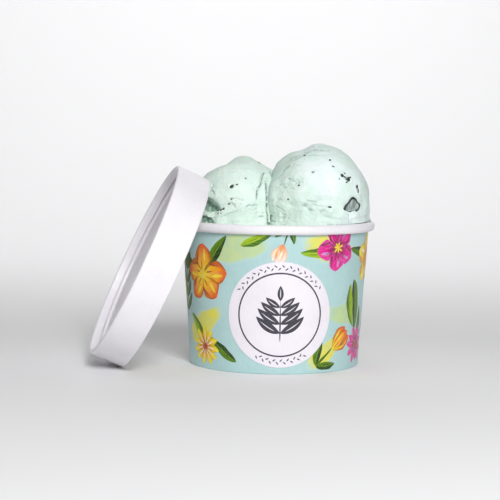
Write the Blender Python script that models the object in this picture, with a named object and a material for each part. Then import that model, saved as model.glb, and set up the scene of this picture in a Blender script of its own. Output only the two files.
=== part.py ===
"""A paper ice cream cup filled with mint ice cream, with its paper lid leaning on it.

Units are metres, +Z is up, and the camera of the usual view looks along +Y. The cup stands on z = 0.
Each paper part is turned from a closed (radius, height) outline. Radii are measured from the cup's
own axis, or from the lid's. The origin is at the middle of the foot of the whole object's box.
"""

import math
import random

import bmesh
import bpy
from mathutils import Euler, Matrix, Vector, noise

MM = 0.001
SEGMENTS = 60
GAP = 0.3 * MM  # clearance that touching pieces keep

# Cup of coated paper
FOOT_RADIUS = 41.5 * MM
SHOULDER_RADIUS = 45.95 * MM
SHOULDER_HEIGHT = 66.5 * MM
RIM_RADIUS = 49.0 * MM
RIM_TOP = 71.0 * MM
RIM_WIDTH = 3.6 * MM
RIM_DEPTH = 4.6 * MM
CUP_PAPER = 0.5 * MM
FOOT_FOLD = 2.1 * MM  # the paper folded up inside at the foot
FOOT_FOLD_HEIGHT = 5.0 * MM
FOOT_ROUNDING = 0.4 * MM

# Round label on the front of the cup
LABEL_RADIUS = 25.3 * MM
LABEL_PAPER = 0.2 * MM
LABEL_HEIGHT = 28.5 * MM
LABEL_TURN = math.radians(2.8)  # from straight ahead towards +X
LABEL_SIDES = 36
LABEL_RINGS = 5

# Lid of coated paper, turned about its own axis from its open edge at height 0
LID_RADIUS = 50.1 * MM
LID_HEIGHT = 17.0 * MM
LID_PAPER = 0.45 * MM
LID_FOLD = 1.9 * MM  # the paper folded in at the closed edge
LID_FOLD_HEIGHT = 4.0 * MM
LID_RECESS = 6.1 * MM
LIP_RADIUS = 0.7 * MM
LID_TILT = math.radians(25.0)  # of the lid's face from upright
LID_YAW = math.radians(8.0)  # of the lid's face towards the viewer
LID_FOOT = Vector((-74.7 * MM, -19.2 * MM))  # where the open edge stands, from the cup's axis

# Ice cream
BED_LEVEL = 69.3 * MM
BED_DIP = 2.2 * MM
BED_SWELL = 4.0 * MM
BED_SLOPE = 7.0 * MM  # width over which the heaped back part falls to the wall
BED_CLEAR = 1.4  # times a scoop's radius, where the bed's own shape begins
BED_RINGS = 8
SEAT = BED_LEVEL + GAP
GROOVE = 0.45 * MM  # clearance that the leaning lid's edge keeps in the left scoop
NEIGHBOUR_GAP = 0.45 * MM  # clearance between the scoops

AQUA_PRINT = (0.45, 0.66, 0.66)
WHITE_PAPER = (0.88, 0.87, 0.89)
MINT = (0.70, 0.86, 0.79)

# Each scoop is a ball on a short upright foot. Its bumps are (direction, angular width, height), with
# the width in radians, and its folds are (turn from straight ahead, width, height), in degrees.
SCOOP_RIGHT = {
    "centre": Vector((21.2, -6.0, 83.2)) * MM,
    "radius": 24.7 * MM,
    "bumps": (
        (Vector((0.00, -0.05, 1.00)), 0.24, 0.9 * MM),
        (Vector((-0.78, 0.00, 0.62)), 0.30, 1.7 * MM),
        (Vector((-0.36, 0.05, 0.92)), 0.13, -1.0 * MM),
        (Vector((0.80, 0.00, 0.58)), 0.32, -1.8 * MM),
        (Vector((0.10, 0.90, 0.30)), 0.45, 1.2 * MM),
        (Vector((-0.45, -0.80, 0.05)), 0.28, 0.9 * MM),
        (Vector((0.35, -0.90, -0.25)), 0.30, 0.5 * MM),
    ),
    "folds": ((-52.0, 4.0, -0.6 * MM),),
}
SCOOP_LEFT = {
    "centre": Vector((-17.0, 0.5, 79.0)) * MM,
    "radius": 22.8 * MM,
    "bumps": (
        (Vector((-0.50, 0.00, 0.87)), 0.26, -3.0 * MM),
        (Vector((0.48, 0.00, 0.88)), 0.22, -1.9 * MM),
        (Vector((0.05, -0.10, 1.00)), 0.20, 0.9 * MM),
        (Vector((-0.03, -0.97, -0.22)), 0.34, 1.4 * MM),
        (Vector((-0.62, -0.76, -0.10)), 0.22, -1.6 * MM),
        (Vector((-0.30, 0.90, 0.20)), 0.40, 1.0 * MM),
    ),
    "folds": ((20.0, 3.0, -0.9 * MM), (29.0, 5.5, 1.0 * MM)),
}
SCOOP_SIDES = 52
DOME_RINGS = 14
FOOT_RINGS = 4
FOLD_FADE = (0.42, 0.85)  # rise of the direction over which the folds fade away
TEAR_FADE = (-0.2, 0.45)  # rise of the direction over which the torn foot turns smooth
LUMP_SIZE = 13.0 * MM
LUMP_HEIGHT = 0.5 * MM
TEAR_SIZE = 5.0 * MM
TEAR_HEIGHT = 0.9 * MM
SKIRT_HEIGHT = 2.6 * MM  # of the ragged edge pressed out at a scoop's foot
SKIRT_REACH = 2.4 * MM
SKIRT_SIZE = 7.0 * MM

# Chocolate chips. Those seen from the front are (across, up, length, width, turn): millimetres from
# the ball's centre, the chip's size in millimetres, and degrees.
CHIP_THICKNESS = 1.5 * MM
CHIP_SIDES = 7
CHIP_TAPER = 0.72
RIGHT_CHIPS = (
    (14.9, -3.6, 8.6, 6.6, 10),
    (10.3, 10.8, 3.6, 2.4, -32),
    (12.8, 9.3, 3.0, 1.8, -50),
    (17.3, 4.5, 4.2, 1.6, 75),
    (3.6, -4.0, 2.1, 1.6, 20),
    (-4.1, 12.5, 1.9, 1.6, 0),
    (4.1, 18.3, 1.8, 1.4, 45),
    (-10.7, 5.8, 2.2, 1.3, 30),
    (-5.5, -1.2, 2.0, 1.2, 10),
)
LEFT_CHIPS = (
    (-4.5, 8.9, 2.4, 2.0, 50),
    (-2.1, 9.6, 1.5, 1.2, 0),
    (-5.9, 0.5, 1.8, 1.3, 30),
    (-8.7, -2.3, 2.6, 1.3, 40),
    (4.7, 0.2, 2.0, 1.2, 5),
)

# Chips where the front view doesn't reach, spread by the golden angle over the top and the back
BACK_CHIPS = 8
BACK_CHIP_LENGTHS = (1.8, 4.2)
BACK_CHIP_SHAPES = (0.5, 0.8)  # width over length
BACK_CHIP_RISES = (0.92, -0.03)  # of the direction, first and last
NEXT_SCOOP = 0.5  # sideways part of a direction that would meet the other scoop
CHIP_SEED = 11


def remove_all_objects():
    for item in list(bpy.data.objects):
        bpy.data.objects.remove(item)


def material(name, colour, roughness):
    made = bpy.data.materials.new(name)
    made.use_nodes = True
    shader = made.node_tree.nodes["Principled BSDF"]
    shader.inputs["Base Color"].default_value = (*colour, 1.0)
    shader.inputs["Roughness"].default_value = roughness
    shader.inputs["Metallic"].default_value = 0.0
    return made


def add_object(name, shape, finish=None):
    """Puts a bmesh into the scene as a named object, faces out."""
    bmesh.ops.recalc_face_normals(shape, faces=shape.faces)
    mesh = bpy.data.meshes.new(name)
    shape.to_mesh(mesh)
    shape.free()
    made = bpy.data.objects.new(name, mesh)
    bpy.context.collection.objects.link(made)
    if finish:
        mesh.materials.append(finish)
        mesh.shade_smooth()
        mesh.set_sharp_from_angle(angle=math.radians(35))
    return made


def arc(centre, half_width, half_height, start, end, steps):
    """Points of an elliptical arc in the (radius, height) plane, angles in degrees."""
    points = []
    for step in range(steps + 1):
        angle = math.radians(start + (end - start) * step / steps)
        radius = centre[0] + half_width * math.cos(angle)
        height = centre[1] + half_height * math.sin(angle)
        points.append((radius, height))
    return points


def turned(name, outline, closed, finish=None):
    """A solid turned about Z. A closed outline makes a ring, and an open one starts and ends on the axis."""
    shape = bmesh.new()
    corners = [shape.verts.new((radius, 0.0, height)) for radius, height in outline]
    followers = corners[1:] + corners[:1] if closed else corners[1:]
    edges = [shape.edges.new(pair) for pair in zip(corners, followers)]
    bmesh.ops.spin(
        shape,
        geom=corners + edges,
        axis=(0, 0, 1),
        cent=(0, 0, 0),
        angle=math.tau,
        steps=SEGMENTS,
        use_merge=True,
    )
    bmesh.ops.remove_doubles(shape, verts=shape.verts, dist=0.001 * MM)
    return add_object(name, shape, finish)


def turned_disc(name, radius, underside, thickness, finish):
    """A flat round disc that lies level."""
    top = underside + thickness
    outline = [(0.0, top), (radius, top), (radius, underside), (0.0, underside)]
    return turned(name, outline, closed=False, finish=finish)


def wall_radius(height):
    """Outer radius of the cup's tapering wall."""
    return FOOT_RADIUS + (SHOULDER_RADIUS - FOOT_RADIUS) * height / SHOULDER_HEIGHT


def wall_point(inset, height):
    return wall_radius(height) - inset, height


def cup_wall(finish):
    """The side wall, with its rolled rim on top and its paper folded up inside at the foot."""
    rim_middle = (RIM_RADIUS - RIM_WIDTH / 2, RIM_TOP - RIM_DEPTH / 2)
    foot_middle = (FOOT_RADIUS - FOOT_ROUNDING, FOOT_ROUNDING)
    outline = arc(foot_middle, FOOT_ROUNDING, FOOT_ROUNDING, -90, 0, 2)
    outline += arc(rim_middle, RIM_WIDTH / 2, RIM_DEPTH / 2, -135, 180, 10)
    outline += [
        wall_point(CUP_PAPER, SHOULDER_HEIGHT),
        wall_point(CUP_PAPER, FOOT_FOLD_HEIGHT),
        wall_point(FOOT_FOLD, FOOT_FOLD_HEIGHT),
        wall_point(FOOT_FOLD, 0.0),
    ]
    return turned("cup_wall", outline, closed=True, finish=finish)


def cup_base(finish):
    """The flat round base, lying on the folded foot inside the wall."""
    underside = FOOT_FOLD_HEIGHT + GAP
    return turned_disc("cup_base", FOOT_RADIUS - CUP_PAPER, underside, CUP_PAPER, finish)


def label(finish):
    """A thin round label, curved to the wall's taper and a hair clear of it."""
    shape = bmesh.new()
    faces = []
    for lift in (GAP, GAP + LABEL_PAPER):
        rings = [[shape.verts.new(label_point(0.0, 0.0, lift))]]
        for ring in range(1, LABEL_RINGS + 1):
            reach = LABEL_RADIUS * ring / LABEL_RINGS
            row = []
            for side in range(LABEL_SIDES):
                turn = math.tau * side / LABEL_SIDES
                point = label_point(reach * math.cos(turn), reach * math.sin(turn), lift)
                row.append(shape.verts.new(point))
            rings.append(row)
        faces.append(rings)
    for rings in faces:
        fan_and_bands(shape, rings)
    back_edge, front_edge = faces[0][-1], faces[1][-1]
    for side in range(LABEL_SIDES):
        after = (side + 1) % LABEL_SIDES
        shape.faces.new((back_edge[side], back_edge[after], front_edge[after], front_edge[side]))
    return add_object("label", shape, finish)


def label_point(across, up, lift):
    """A point of the label, measured over the wall from the label's middle."""
    height = LABEL_HEIGHT + up
    turn = LABEL_TURN + across / wall_radius(height)
    radius = wall_radius(height) + lift
    return radius * math.sin(turn), -radius * math.cos(turn), height


def fan_and_bands(shape, rings):
    """Faces between rings of points, the first ring being one point in the middle."""
    middle = rings[0][0]
    inner = rings[1]
    for side, corner in enumerate(inner):
        shape.faces.new((middle, corner, inner[(side + 1) % len(inner)]))
    for low, high in zip(rings[1:], rings[2:]):
        for side in range(len(low)):
            after = (side + 1) % len(low)
            shape.faces.new((low[side], low[after], high[after], high[side]))


def lid_band(finish):
    """The lid's side: a lip rolled in at the open edge, and its paper folded in at the closed edge."""
    fold_radius = LID_FOLD / 2
    fold_middle = (LID_RADIUS - fold_radius, LID_HEIGHT - fold_radius)
    lip_middle = (LID_RADIUS - LIP_RADIUS, LIP_RADIUS)
    inner_face = LID_RADIUS - LID_PAPER
    outline = arc(lip_middle, LIP_RADIUS, LIP_RADIUS, -180, 0, 6)
    outline += arc(fold_middle, fold_radius, fold_radius, 0, 180, 6)
    outline += [
        (LID_RADIUS - LID_FOLD, LID_HEIGHT - LID_FOLD_HEIGHT),
        (inner_face, LID_HEIGHT - LID_FOLD_HEIGHT),
        (inner_face, 2 * LIP_RADIUS),
    ]
    return turned("lid_band", outline, closed=True, finish=finish)


def lid_panel(finish):
    """The lid's flat round face, set back from the closed edge."""
    underside = LID_HEIGHT - LID_RECESS - LID_PAPER
    return turned_disc("lid_panel", LID_RADIUS - LID_PAPER - GAP, underside, LID_PAPER, finish)


def lid_groove_cutter():
    """A ring a little thicker than the lid's edge, for the groove that it presses into the ice cream."""
    inside = LID_RADIUS - LID_FOLD - GROOVE
    outside = LID_RADIUS + GROOVE
    outline = [
        (outside, -GROOVE),
        (outside, LID_HEIGHT),
        (inside, LID_HEIGHT),
        (inside, -GROOVE),
    ]
    return turned("lid_groove_cutter", outline, closed=True)


def stand_lid(pieces):
    """Leans the lid's pieces together, its open edge down on the floor at LID_FOOT."""
    lean = Euler((0.0, LID_TILT - math.pi / 2, LID_YAW))
    to_foot = lean.to_matrix() @ Vector((-LID_RADIUS, 0.0, 0.0))
    edge_drop = LIP_RADIUS * (math.cos(LID_TILT) + math.sin(LID_TILT) - 1.0)
    pose = bpy.data.objects.new("lid_pose", None)
    bpy.context.collection.objects.link(pose)
    pose.rotation_euler = lean
    pose.location = Vector((*LID_FOOT, 0.0)) - to_foot
    pose.location.z -= edge_drop
    for piece in pieces:
        piece.parent = pose
    return pose


def smooth_step(value, low, high):
    share = min(1.0, max(0.0, (value - low) / (high - low)))
    return share * share * (3 - 2 * share)


def bed_height(x, y):
    """Top of the packed ice cream: level under the scoops, dipping in front of them and heaped behind."""
    clear = 1.0
    for spec in (SCOOP_LEFT, SCOOP_RIGHT):
        reach = math.hypot(x - spec["centre"].x, y - spec["centre"].y)
        open_from = spec["radius"] + SKIRT_REACH
        clear = min(clear, smooth_step(reach, open_from, spec["radius"] * BED_CLEAR))
    ripple = 0.5 + 0.5 * noise.noise(Vector((x, y, 0.0)) / LUMP_SIZE)
    to_wall = wall_radius(BED_LEVEL) - math.hypot(x, y)
    heaped = smooth_step(y, 0.0, 2 * BED_SLOPE) * smooth_step(to_wall, 0.0, BED_SLOPE)
    return BED_LEVEL + clear * (BED_SWELL * heaped - BED_DIP * (1.0 - heaped)) * ripple


def ice_cream_bed(finish):
    """The ice cream packed into the cup, from the base up to just under the rim."""
    foot = FOOT_FOLD_HEIGHT + CUP_PAPER + 2 * GAP
    edge_height = BED_LEVEL - BED_DIP
    inset = CUP_PAPER + GAP
    outline = [(0.0, foot), wall_point(inset, foot), wall_point(inset, edge_height)]
    edge_radius = outline[-1][0]
    for ring in range(BED_RINGS - 1, -1, -1):
        outline.append((edge_radius * ring / BED_RINGS, BED_LEVEL))
    made = turned("ice_cream_bed", outline, closed=False, finish=finish)
    for vertex in made.data.vertices:
        if vertex.co.z > edge_height:
            vertex.co.z = bed_height(vertex.co.x, vertex.co.y)
    return made


def scoop_relief(spec, direction):
    """How far the ice cream stands out from the ball along a unit direction."""
    height = 0.0
    for towards, width, rise in spec["bumps"]:
        height += rise * math.exp(-((direction.angle(towards) / width) ** 2))
    turn = math.degrees(math.atan2(direction.x, -direction.y))
    fade = 1.0 - smooth_step(direction.z, *FOLD_FADE)
    for middle, width, rise in spec["folds"]:
        height += rise * fade * math.exp(-(((turn - middle) / width) ** 2))
    place = spec["centre"] + direction * spec["radius"]
    torn = 1.0 - smooth_step(direction.z, *TEAR_FADE)
    height += TEAR_HEIGHT * torn * noise.noise(place / TEAR_SIZE)
    return height + LUMP_HEIGHT * noise.noise(place / LUMP_SIZE)


def skirt(spec, offset):
    """How far the ragged edge at a scoop's foot stands out, at an offset from the ball's centre."""
    over_seat = spec["centre"].z + offset.z - SEAT
    ragged = 0.5 + 0.5 * noise.noise((spec["centre"] + offset) / SKIRT_SIZE)
    return SKIRT_REACH * ragged * math.exp(-((over_seat / SKIRT_HEIGHT) ** 2))


def scoop_row(spec, ring):
    """Radius of one ring of a scoop and its height over the ball's centre, counted from the foot."""
    if ring < FOOT_RINGS:
        return spec["radius"], (SEAT - spec["centre"].z) * (1.0 - ring / FOOT_RINGS)
    angle = math.pi / 2 * (ring - FOOT_RINGS) / DOME_RINGS
    return spec["radius"] * math.cos(angle), spec["radius"] * math.sin(angle)


def scoop(name, spec, finish=None, grow=0.0):
    """One ball of ice cream on its upright foot, standing on the seat. It can be grown all round."""
    shape = bmesh.new()
    crown_height = spec["radius"] + scoop_relief(spec, Vector((0, 0, 1))) + grow
    rings = [[shape.verts.new(spec["centre"] + Vector((0, 0, crown_height)))]]
    for ring in range(FOOT_RINGS + DOME_RINGS - 1, -1, -1):
        radius, rise = scoop_row(spec, ring)
        row = []
        for side in range(SCOOP_SIDES):
            turn = math.tau * side / SCOOP_SIDES
            offset = Vector((radius * math.cos(turn), radius * math.sin(turn), rise))
            direction = offset.normalized()
            outward = Vector((direction.x, direction.y, max(0.0, direction.z))).normalized()
            rise_out = scoop_relief(spec, direction) + skirt(spec, offset) + grow
            row.append(shape.verts.new(spec["centre"] + offset + outward * rise_out))
        rings.append(row)
    fan_and_bands(shape, rings)
    shape.faces.new(rings[-1])
    return add_object(name, shape, finish)


def chip(spec, direction, length, width, turn):
    """A flat shard of chocolate, lying half sunk in the ball's surface."""
    place = spec["centre"] + direction * (spec["radius"] + scoop_relief(spec, direction))
    facing = direction.to_track_quat("Z", "Y").to_matrix().to_4x4()
    shape = bmesh.new()
    bmesh.ops.create_cone(
        shape,
        cap_ends=True,
        cap_tris=False,
        segments=CHIP_SIDES,
        radius1=0.5,
        radius2=0.5 * CHIP_TAPER,
        depth=1.0,
    )
    size = Matrix.Diagonal((length * MM, width * MM, CHIP_THICKNESS, 1.0))
    spin = Matrix.Rotation(math.radians(turn), 4, "Z")
    pose = Matrix.Translation(place) @ facing @ spin @ size
    bmesh.ops.transform(shape, matrix=pose, verts=shape.verts)
    return add_object("chip", shape)


def front_chips(spec, places):
    """The chips that are placed by how far they lie across and up from the ball's centre."""
    made = []
    for across, up, length, width, turn in places:
        reach = spec["radius"] / MM
        depth = math.sqrt(reach**2 - across**2 - up**2)
        direction = Vector((across, -depth, up)).normalized()
        made.append(chip(spec, direction, length, width, turn))
    return made


def back_chips(spec, away):
    """Chips over the top and the back, away (+1 or -1 along X) from the other scoop."""
    draw = random.Random(CHIP_SEED)
    first, last = BACK_CHIP_RISES
    made = []
    for number in range(BACK_CHIPS):
        rise = first + (last - first) * number / BACK_CHIPS
        turn = number * math.pi * (3.0 - math.sqrt(5.0))
        level = math.sqrt(1.0 - rise**2)
        direction = Vector((level * math.cos(turn), abs(level * math.sin(turn)), rise))
        if direction.x * away < -NEXT_SCOOP:
            direction.x *= -1
        length = draw.uniform(*BACK_CHIP_LENGTHS)
        width = length * draw.uniform(*BACK_CHIP_SHAPES)
        made.append(chip(spec, direction, length, width, draw.uniform(0, 180)))
    return made


def mouth_cutter():
    """What the rim and wall take up round a scoop's foot, and their clearance."""
    inside = RIM_RADIUS - RIM_WIDTH - GAP
    outside = RIM_RADIUS + RIM_WIDTH
    outline = [
        (outside, RIM_TOP + GAP),
        (inside, RIM_TOP + GAP),
        (inside, SEAT - MM),
        (outside, SEAT - MM),
    ]
    return turned("mouth_cutter", outline, closed=True)


def combine(target, pieces):
    """Fuses a whole collection of pieces onto the target by one union, then removes the pieces."""
    group = bpy.data.collections.new(target.name + "_pieces")
    for piece in pieces:
        group.objects.link(piece)
    modifier = target.modifiers.new("join", "BOOLEAN")
    modifier.operation = "UNION"
    modifier.operand_type = "COLLECTION"
    modifier.collection = group
    modifier.solver = "EXACT"
    bpy.context.view_layer.update()
    evaluated = target.evaluated_get(bpy.context.evaluated_depsgraph_get())
    joined = bpy.data.meshes.new_from_object(evaluated)
    target.modifiers.clear()
    target.data = joined
    for piece in pieces:
        bpy.data.objects.remove(piece)
    bpy.data.collections.remove(group)


def cut(target, cutter):
    """Subtracts one cutter, which stays in the scene as a wire guide."""
    modifier = target.modifiers.new("cut", "BOOLEAN")
    modifier.operation = "DIFFERENCE"
    modifier.object = cutter
    modifier.solver = "EXACT"
    cutter.hide_render = True
    cutter.display_type = "WIRE"


def ice_cream_scoops(finish, groove):
    """Both scoops with their chips. The right one stands in front, so it cuts into the left one."""
    right = scoop("scoop_right", SCOOP_RIGHT, finish)
    left = scoop("scoop_left", SCOOP_LEFT, finish)
    combine(right, front_chips(SCOOP_RIGHT, RIGHT_CHIPS) + back_chips(SCOOP_RIGHT, 1))
    combine(left, front_chips(SCOOP_LEFT, LEFT_CHIPS) + back_chips(SCOOP_LEFT, -1))
    mouth = mouth_cutter()
    neighbour = scoop("neighbour_cutter", SCOOP_RIGHT, grow=NEIGHBOUR_GAP)
    neighbour.location.z = -GAP / 3
    cut(right, mouth)
    cut(left, mouth)
    cut(left, neighbour)
    cut(left, groove)
    return [right, left, mouth, neighbour]


def centre_on_origin(bodies, movers):
    """Shifts everything so that the middle of the foot of the bodies' box is the origin."""
    bpy.context.view_layer.update()
    corners = [
        body.matrix_world @ vertex.co for body in bodies for vertex in body.data.vertices
    ]
    for axis in (0, 1):
        low = min(corner[axis] for corner in corners)
        high = max(corner[axis] for corner in corners)
        for mover in movers:
            mover.location[axis] -= (low + high) / 2


def main():
    remove_all_objects()
    printed_paper = material("printed_paper", AQUA_PRINT, 0.45)
    white_paper = material("white_paper", WHITE_PAPER, 0.5)
    ice_cream = material("mint_ice_cream", MINT, 0.6)
    wall = cup_wall(printed_paper)
    base = cup_base(white_paper)
    round_label = label(white_paper)
    bed = ice_cream_bed(ice_cream)
    band = lid_band(white_paper)
    panel = lid_panel(white_paper)
    groove = lid_groove_cutter()
    pose = stand_lid([band, panel, groove])
    scoops_and_cutters = ice_cream_scoops(ice_cream, groove)
    centre_on_origin(
        [wall, band, panel], [wall, base, round_label, bed, pose, *scoops_and_cutters]
    )


main()
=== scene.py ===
"""Dresses the packed ice cream cup: printed paper, round label, leaning lid, mint scoops, chocolate.

Lengths are in metres, and angles in radians unless a name says degrees. Every shape of the cup is drawn
round the cup's own axis, and a turn is measured round it from straight ahead (-Y) towards +X.
"""

import logging
import math
import random
from dataclasses import dataclass, field
from enum import Enum
from typing import Callable, Iterable, Sequence

import bmesh
import bpy
from mathutils import Euler, Matrix, Vector, noise


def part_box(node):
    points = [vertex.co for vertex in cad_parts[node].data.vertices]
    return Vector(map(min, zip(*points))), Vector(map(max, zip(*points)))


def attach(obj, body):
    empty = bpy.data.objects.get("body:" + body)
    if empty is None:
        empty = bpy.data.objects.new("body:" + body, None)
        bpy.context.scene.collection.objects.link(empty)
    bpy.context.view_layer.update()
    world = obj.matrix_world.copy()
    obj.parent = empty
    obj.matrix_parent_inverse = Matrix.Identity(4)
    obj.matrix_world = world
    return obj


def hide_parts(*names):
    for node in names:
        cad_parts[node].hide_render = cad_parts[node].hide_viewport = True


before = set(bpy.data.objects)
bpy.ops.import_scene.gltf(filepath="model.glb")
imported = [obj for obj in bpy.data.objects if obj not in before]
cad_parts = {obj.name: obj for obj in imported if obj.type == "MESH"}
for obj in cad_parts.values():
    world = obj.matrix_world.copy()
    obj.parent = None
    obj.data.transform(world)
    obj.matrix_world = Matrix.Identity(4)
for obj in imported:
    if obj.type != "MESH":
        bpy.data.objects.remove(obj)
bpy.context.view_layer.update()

MM = 0.001
BODY = "root"
LOG = logging.getLogger("ice_cream_cup")

Colour = tuple[float, float, float]
Paint = tuple[float, float, float]
Place = tuple[float, float]
Outline = list[Place]
Line = tuple[Place, ...]
Sheet = Callable[[float, float, float], Vector]
Material = bpy.types.Material
Socket = bpy.types.NodeSocket
Inputs = dict[int | str, object]


def tone(red: float, green: float, blue: float) -> Colour:
    """Scene-linear colour of a tone given as screen values from 0 to 255."""
    shares = [value / 255.0 for value in (red, green, blue)]
    return tuple(share / 12.92 if share <= 0.04045 else ((share + 0.055) / 1.055) ** 2.4 for share in shares)


def smooth_step(value: float, low: float, high: float) -> float:
    """A smooth rise from 0 where the value is low to 1 where it is high."""
    share = min(1.0, max(0.0, (value - low) / (high - low)))
    return share * share * (3.0 - 2.0 * share)


def arc(middle: Place, half: Place, start: float, end: float, steps: int) -> Outline:
    """Points of an elliptical arc in the (radius, height) plane, from one angle in degrees to another."""
    angles = [math.radians(start + (end - start) * step / steps) for step in range(steps + 1)]
    return [
        (middle[0] + half[0] * math.cos(angle), middle[1] + half[1] * math.sin(angle)) for angle in angles
    ]


def turns_round(count: int) -> list[float]:
    """Evenly spaced turns, once round."""
    return [math.tau * step / count for step in range(count)]


def reached(reach: float, heading: float) -> Place:
    """Across and up to what lies at a reach along a heading."""
    return reach * math.cos(heading), reach * math.sin(heading)


# Meshes


@dataclass
class Surface:
    """A mesh under construction, with three paint values kept for each corner."""

    corners: list[Vector] = field(default_factory=list)
    paints: list[Paint] = field(default_factory=list)
    faces: list[tuple[int, ...]] = field(default_factory=list)

    def corner(self, place: Vector, paint: Paint = (0.0, 0.0, 0.0)) -> int:
        """Adds one corner.

        Args:
            place: Where it stands.
            paint: Its three paint values.

        Returns:
            The corner's number.
        """
        self.corners.append(place)
        self.paints.append(paint)
        return len(self.corners) - 1

    def bands(self, rows: Sequence[Sequence[int]], ring: bool) -> None:
        """Fills the bands between rows of corners.

        Args:
            rows: Rows of equally many corners.
            ring: Whether each row closes on itself.
        """
        for low, high in zip(rows, rows[1:]):
            for side in range(len(low) if ring else len(low) - 1):
                after = (side + 1) % len(low)
                self.faces.append((low[side], low[after], high[after], high[side]))

    def fan(self, middle: int, row: Sequence[int], ring: bool) -> None:
        """Fills the triangles between one corner and a row, which may close on itself."""
        for side in range(len(row) if ring else len(row) - 1):
            self.faces.append((middle, row[side], row[(side + 1) % len(row)]))

    def turn(self, outline: Outline, segments: int, closed: bool) -> None:
        """Turns an outline about Z.

        Args:
            outline: Points as (radius, height). An open outline may start and end on the axis.
            segments: Number of steps round the axis.
            closed: Whether the outline closes on itself.
        """
        rows = []
        for radius, height in outline:
            around = turns_round(segments) if radius else [0.0]
            rows.append([self.corner(polar(radius, turn, height)) for turn in around])
        if closed:
            rows.append(rows[0])
        for low, high in zip(rows, rows[1:]):
            if len(low) == 1:
                self.fan(low[0], high, ring=True)
            elif len(high) == 1:
                self.fan(high[0], low, ring=True)
            else:
                self.bands([low, high], ring=True)

    def piece(
        self, name: str, finish: Material, closed: bool = True, sharp_degrees: float = 40.0
    ) -> bpy.types.Object:
        """Makes the mesh into a shown piece.

        Args:
            name: The piece's name.
            finish: The material that covers it.
            closed: Whether it is a closed shell, whose faces are turned outwards.
            sharp_degrees: Edges that bend more than this stay sharp.

        Returns:
            The new object.
        """
        mesh = bpy.data.meshes.new(name)
        mesh.from_pydata(self.corners, [], self.faces)
        paint = mesh.attributes.new("paint", "FLOAT_VECTOR", "POINT")
        paint.data.foreach_set("vector", [value for triple in self.paints for value in triple])
        if closed:
            shape = bmesh.new()
            shape.from_mesh(mesh)
            bmesh.ops.recalc_face_normals(shape, faces=shape.faces)
            shape.to_mesh(mesh)
            shape.free()
        mesh.shade_smooth()
        mesh.set_sharp_from_angle(angle=math.radians(sharp_degrees))
        mesh.materials.append(finish)
        made = bpy.data.objects.new(name, mesh)
        bpy.context.collection.objects.link(made)
        return made


def polar(radius: float, turn: float, height: float) -> Vector:
    """A point at a radius and turn round the axis, turned from -Y towards +X."""
    return Vector((radius * math.sin(turn), -radius * math.cos(turn), height))


def set_in_place(piece: bpy.types.Object, pose: Matrix, stands_for: str = "") -> None:
    """Poses a finished piece, lets it ride on the body and reports it.

    Args:
        piece: The piece.
        pose: Where its own axes stand.
        stands_for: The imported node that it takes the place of, if any.
    """
    piece.data.transform(pose)
    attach(piece, BODY)
    if stands_for:
        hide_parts(stands_for)
    LOG.info("%s: %d faces, for %s", piece.name, len(piece.data.polygons), stands_for or "detail")


# Finishes


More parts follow.
